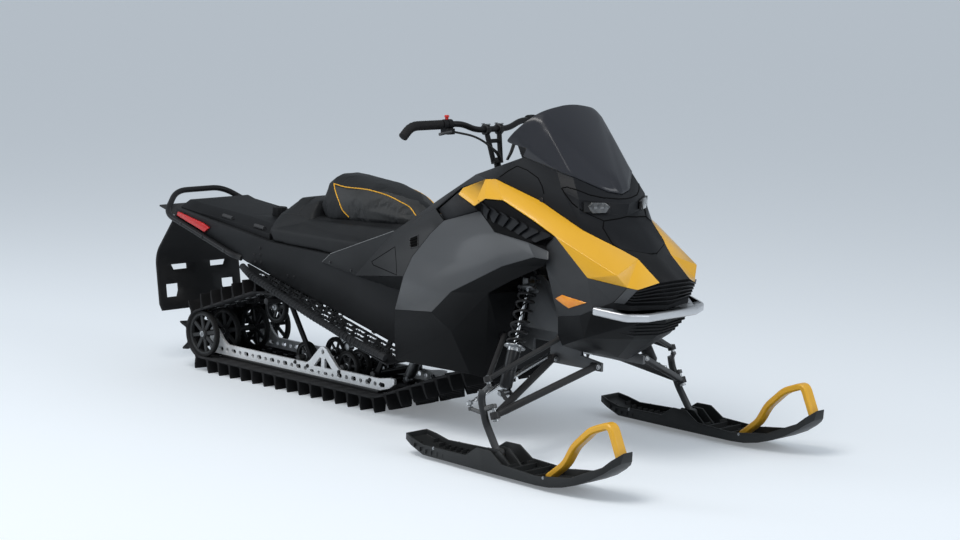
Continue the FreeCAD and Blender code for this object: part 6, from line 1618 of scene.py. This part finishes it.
# Steering linkage: the black forged arm that hangs in the cradle and its two bright alloy tie
# rods, each with a rod end and a lock nut at either end.
moulded(
    "steering_arm_forging", "steering_arm", "steering_arm", frame_black, 0.001, 30
)
STEER_BALL, ROD_INNER = Vector((0.752, 0.498, 0.212)), Vector((0.706, 0.028, 0.336))
rod_alloy = finish(
    "bright tie rod alloy", (0.55, 0.56, 0.57), (0.66, 0.67, 0.68), 0.24, 500, 0.0002, 0.95
)
for name, side in (("right", -1), ("left", 1)):
    body = f"tie_rod_{name}"
    steer, inner, king = on_side((STEER_BALL, ROD_INNER, KING), side)
    way = (inner - steer).normalized()
    shape, nuts = bmesh.new(), bmesh.new()
    tube(shape, [steer + way * along for along in (0.010, 0.040, 0.046)]
         + [inner - way * along for along in (0.046, 0.040, 0.009)],
         [0.0058, 0.0058, 0.0079, 0.0079, 0.0058, 0.0058], 20)
    for end, radius in ((steer, 0.0118), (inner, 0.0108)):
        turned(shape, end - king * 0.0078, king, [
            (0, 0.0055), (0, radius - 0.003), (0.0022, radius), (0.0134, radius),
            (0.0156, radius - 0.003), (0.0156, 0.0055),
        ], 24)
    for end, out in ((steer, way), (inner, -way)):
        boss(nuts, end + out * 0.034, out, 0.008, 0.0079, 0.0068, sides=6)
    fit_piece(f"{body}_rod", shape, body, rod_alloy, (body,), sharp=35)
    fit_piece(f"{body}_nuts", nuts, body, zinc)


# Spindles: forged legs that carry the skis, each held by an upper and a lower pin. They
# are dark painted forgings with bright pins and nuts.
forging = finish(
    "dark spindle forging", (0.026, 0.027, 0.029), (0.040, 0.041, 0.043), 0.38, 420, 0.0006, 0.5,
    worn=(0.25, 0.25, 0.25), gloss=0.3,
)
SKI_Y = 0.497
SKI_BOLT = Vector((0.889, SKI_Y, 0.064))
for name, side in (("right", -1), ("left", 1)):
    body = f"ski_leg_{name}"
    lower, upper, king = on_side((LOWER_BALL, UPPER_BALL, KING), side)
    steer, ski_bolt = on_side((STEER_BALL, SKI_BOLT), side)
    away = Vector((-1, side * 0.35, 0))
    away = (away - king * away.dot(king)).normalized()
    collar = upper - king * 0.030 + away * 0.027
    knee = lower + king * 0.064 + away * 0.039
    shin = lower - king * 0.014 + away * 0.039
    shape, pins = bmesh.new(), bmesh.new()
    line = bent_line([collar, knee, shin, ski_bolt], 0.022, 6)
    tube(shape, line, 0.0129, 22)
    boss(shape, ski_bolt, ACROSS, 0.038, 0.0168, 0.0145, 0.002, 26)
    upper_lug, lower_lug = upper - king * 0.023, lower + king * 0.032
    steer_lug = steer - king * 0.018
    for lug, root, radii, length, radius, end_radius in (
        (upper_lug, collar - king * 0.008, [0.0085, 0.0095], 0.012, 0.0098, 0.0085),
        (lower_lug, knee.lerp(shin, 0.45), [0.0095, 0.0105], 0.014, 0.0118, 0.0105),
        (steer_lug, knee.lerp(shin, 0.62), [0.0069, 0.0069], 0.012, 0.0088, 0.0078),
    ):
        tube(shape, [lug, root], radii, 16)
        boss(shape, lug, king, length, radius, end_radius, sides=22)
    turned(pins, upper_lug, king, [(0, 0.0068), (0.034, 0.0068), (0.036, 0.005)], 20)
    turned(pins, lower - king * 0.021, king, [
        (0, 0.009), (0.001, 0.0108), (0.006, 0.0108), (0.007, 0.0068), (0.054, 0.0068),
    ], 20)
    turned(pins, steer_lug, king, [(0, 0.0041), (0.028, 0.0041), (0.029, 0.003)], 16)
    boss(pins, ski_bolt, ACROSS, 0.0576, 0.0058, 0.005)
    node = f"spindle_{name}"
    fit_piece(f"{node}_forging", shape, body, forging, (node,), sharp=35)
    fit_piece(f"{node}_pins", pins, body, zinc, (node,))


# Skis: moulded plastic blades with a keel, cross ribs and a steel wear runner, each with a
# yellow plastic loop at its tip to lift it by.
ski_plastic = finish(
    "ski plastic", (0.0180, 0.0190, 0.0195), (0.0270, 0.0285, 0.0290), 0.4, 900, 0.0005,
    worn=(0.06, 0.06, 0.062), gloss=0.2, stretch=(0.3, 1, 1),
)
loop_yellow = finish(
    "yellow loop plastic", (0.78, 0.40, 0.020), (0.83, 0.44, 0.028), 0.38, 1300, 0.0003,
    coat=0.2, worn=(0.9, 0.62, 0.25), patch=6,
)
runner_steel = finish(
    "scraped runner steel", (0.30, 0.30, 0.305), (0.42, 0.42, 0.43), 0.34, 300, 0.0003, 1.0,
    stretch=(0.05, 1, 1),
)
LOOP_LINE = (
    (1.446, 0.136), (1.398, 0.246), (1.318, 0.216), (1.244, 0.150), (1.206, 0.086), (1.134, 0.030),
)
LOOP_SECTION = (
    (-1, -0.55), (-0.7, -1), (0.7, -1), (1, -0.55), (1, 0.55), (0.7, 1), (-0.7, 1), (-1, 0.55),
)
RIB_COUNT = 20
FASTENER_SINK = 0.0027
for name, side in (("right", -1), ("left", 1)):
    body = f"ski_leg_{name}"
    ski = moulded(f"ski_{name}_blade", f"ski_{name}", body, ski_plastic, 0.0022, 16)
    shape = bmesh.new()
    line = bent_line([(x, side * SKI_Y, z) for x, z in LOOP_LINE], 0.022, 4)
    rings = []
    for before, point, after in zip(line[:1] + line, line, line[1:] + line[-1:]):
        way = (after - before).normalized()
        out = Vector((way.z, 0, -way.x))
        rings.append([
            shape.verts.new(point + ACROSS * a * 0.0215 + out * b * 0.0120)
            for a, b in LOOP_SECTION
        ])
    enclose(shape, rings)
    bmesh.ops.recalc_face_normals(shape, faces=shape.faces)
    node = f"ski_loop_{name}"
    fit_piece(f"{node}_handle", shape, body, loop_yellow, (node,), 0.0016, 22)
    node = f"ski_runner_{name}"
    moulded(f"{node}_bar", node, body, runner_steel, 0.0012, 25)
    ski_tree = BVHTree.FromObject(ski, bpy.context.evaluated_depsgraph_get())
    shape, fasteners = bmesh.new(), bmesh.new()
    for step in range(RIB_COUNT):
        x = 0.545 + step * 0.0285
        if 0.845 < x < 0.935:
            continue
        start = Vector((x, side * (SKI_Y + 0.030), 0.30))
        spot, _, _, _ = ski_tree.ray_cast(start, Vector((0, 0, -1)))
        if spot is None:
            continue
        for y in (-0.046, 0.046):
            chunk(
                shape, (x, side * SKI_Y + y, spot.z + 0.005), ((1, 0, 0.25), ACROSS, (0, 0, 1)),
                (0.0020, 0.020, 0.0075),
            )
    for x, z in ((0.640, 0.046), (1.174, 0.045), (1.430, 0.140)):
        for out in (-1, 1):
            start = Vector((x, side * SKI_Y + out * 0.2, z))
            spot, _, _, _ = ski_tree.ray_cast(start, Vector((0, -out, 0)))
            if spot is not None:
                foot = spot - ACROSS * out * FASTENER_SINK
                bolt(fasteners, foot, (0, out, 0), 0.0052, 0.0030)
    fit_piece(f"ski_{name}_ribs", shape, body, ski_plastic, edge=0.0006)
    fit_piece(f"ski_{name}_fasteners", fasteners, body, zinc)


# Handlebar: a bent steel bar in a two-legged riser on the steering post, with rubber
# grips, a brake lever on the left and a throttle lever on the right.
POST_TOP = Vector((0.362, 0, 0.967))
BAR_X, BAR_Z = 0.334, 1.089
BAR_HALF = (
    (0.300, 0.402, 1.078), (0.298, 0.364, 1.112), (0.328, 0.150, 1.114), (BAR_X, 0.082, BAR_Z),
)
shape = bmesh.new()
bar_line = on_side(BAR_HALF, -1) + on_side(reversed(BAR_HALF), 1)
tube(shape, bent_line(bar_line, 0.030, 8), 0.011, 22)
fit_piece(
    "handlebar_bent_tube", shape, "handlebar", frame_black, ("handlebar_tube",),
    sharp=50,
)
moulded(
    "handlebar_riser_casting", "handlebar_riser", "handlebar", frame_black,
    0.0012, 28,
)
shape = bmesh.new()
for side in (-1, 1):
    for lean in (-0.0145, 0.0145):
        for y in (-0.004, 0.004):
            bolt(shape, (BAR_X + lean, side * 0.033 + y, BAR_Z + 0.0185), (0, 0, 1), 0.0034, 0.0032)
fit_piece("riser_bolts", shape, "handlebar", zinc)
grip_rubber = finish(
    "grip rubber", (0.011, 0.011, 0.0115), (0.019, 0.019, 0.02), 0.62, 600, 0.0010, gloss=0.16
)
GRIP_RADIUS = 0.0162
GRIP_RIDGE = 0.0008
grips, housings, levers, cables = (bmesh.new() for _ in range(4))
for side in (-1, 1):
    start, bend, inner = on_side(BAR_HALF[:3], side)
    outward = (start - bend).normalized()
    inboard = (inner - bend).normalized()
    line = bent_line([start + outward * 0.006, bend, bend + inboard * 0.128], 0.030, 8)
    fine = []
    for before, after in zip(line, line[1:]):
        count = max(1, int((after - before).length / 0.0022))
        fine += [before.lerp(after, step / count) for step in range(count)]
    fine.append(line[-1])
    radii = [GRIP_RADIUS + GRIP_RIDGE * (index // 2 % 2) for index in range(len(fine))]
    radii[0], radii[1], radii[-1] = 0.0125, 0.0165, 0.0168
    tube(grips, fine, radii, 24)
    control = bend + inboard * 0.152
    turned(housings, control - inboard * 0.018, inboard, [
        (0, 0.015), (0.002, 0.0185), (0.017, 0.0188), (0.0178, 0.0176), (0.0195, 0.0176),
        (0.0203, 0.0188), (0.038, 0.0185), (0.040, 0.015),
    ], 28)
    chunk(
        housings, control + Vector((0.006, 0, -0.024)), (ALONG, ACROSS, (0, 0, 1)),
        (0.0195, 0.0175, 0.0105),
    )
    lever_start = control + Vector((0.022, 0, -0.024))
    lever_end = lever_start + Vector((0.006, -0.060 if side < 0 else 0.120, -0.007))
    tube(levers, [lever_start, lever_start.lerp(lever_end, 0.5) + Vector((0.002, 0, 0)), lever_end],
         [0.0060, 0.0052, 0.0058], 14)
    for shift, radius in ((0.0, 0.0040), (0.0085, 0.0030)):
        points = [
            control + Vector((0.004 + shift, -side * 0.0183, -0.025)),
            Vector((BAR_X + 0.026 + shift, side * 0.096, BAR_Z - 0.022 - shift * 0.3)),
            Vector((POST_TOP.x + 0.036, side * (0.030 + shift), POST_TOP.z + 0.040)),
            Vector((POST_TOP.x + 0.032, side * (0.016 + shift * 0.6), POST_TOP.z + 0.014)),
        ]
        tube(cables, bent_line(points, 0.05, 8), radius, 12)
fit_piece("handlebar_grips", grips, "handlebar", grip_rubber, ("grips",), sharp=40)
fit_piece(
    "control_housings", housings, "handlebar", moulded_black, ("bar_controls",),
    0.0016, 30,
)
fit_piece(
    "control_levers", levers, "handlebar", forging, ("bar_controls",), sharp=50
)
cable_black = finish("cable sheath", (0.010, 0.010, 0.010), (0.016, 0.016, 0.016), 0.5, 900, 0.0003)
fit_piece(
    "bar_cable_sheaths", cables, "handlebar", cable_black, ("bar_cables",),
    sharp=60,
)
stop_red = finish(
    "red stop button", (0.55, 0.014, 0.010), (0.66, 0.022, 0.014), 0.3, 900, 0.0002, coat=0.4,
    patch=40,
)
low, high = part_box("stop_button")
height = high[2] - low[2]
shape = bmesh.new()
turned(shape, ((low[0] + high[0]) / 2, (low[1] + high[1]) / 2, low[2]), (0, 0, 1), [
    (0, 0.0062), (0.007, 0.0062), (0.008, 0.0086), (0.0125, 0.0089), (height - 0.001, 0.0076),
    (height, 0.0045),
], 28)
fit_piece("stop_button_cap", shape, "handlebar", stop_red, ("stop_button",), sharp=40)


size = {
    "cad": [list(corner) for corner in cad_box],
    "visual": [list(corner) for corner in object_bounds()],
}
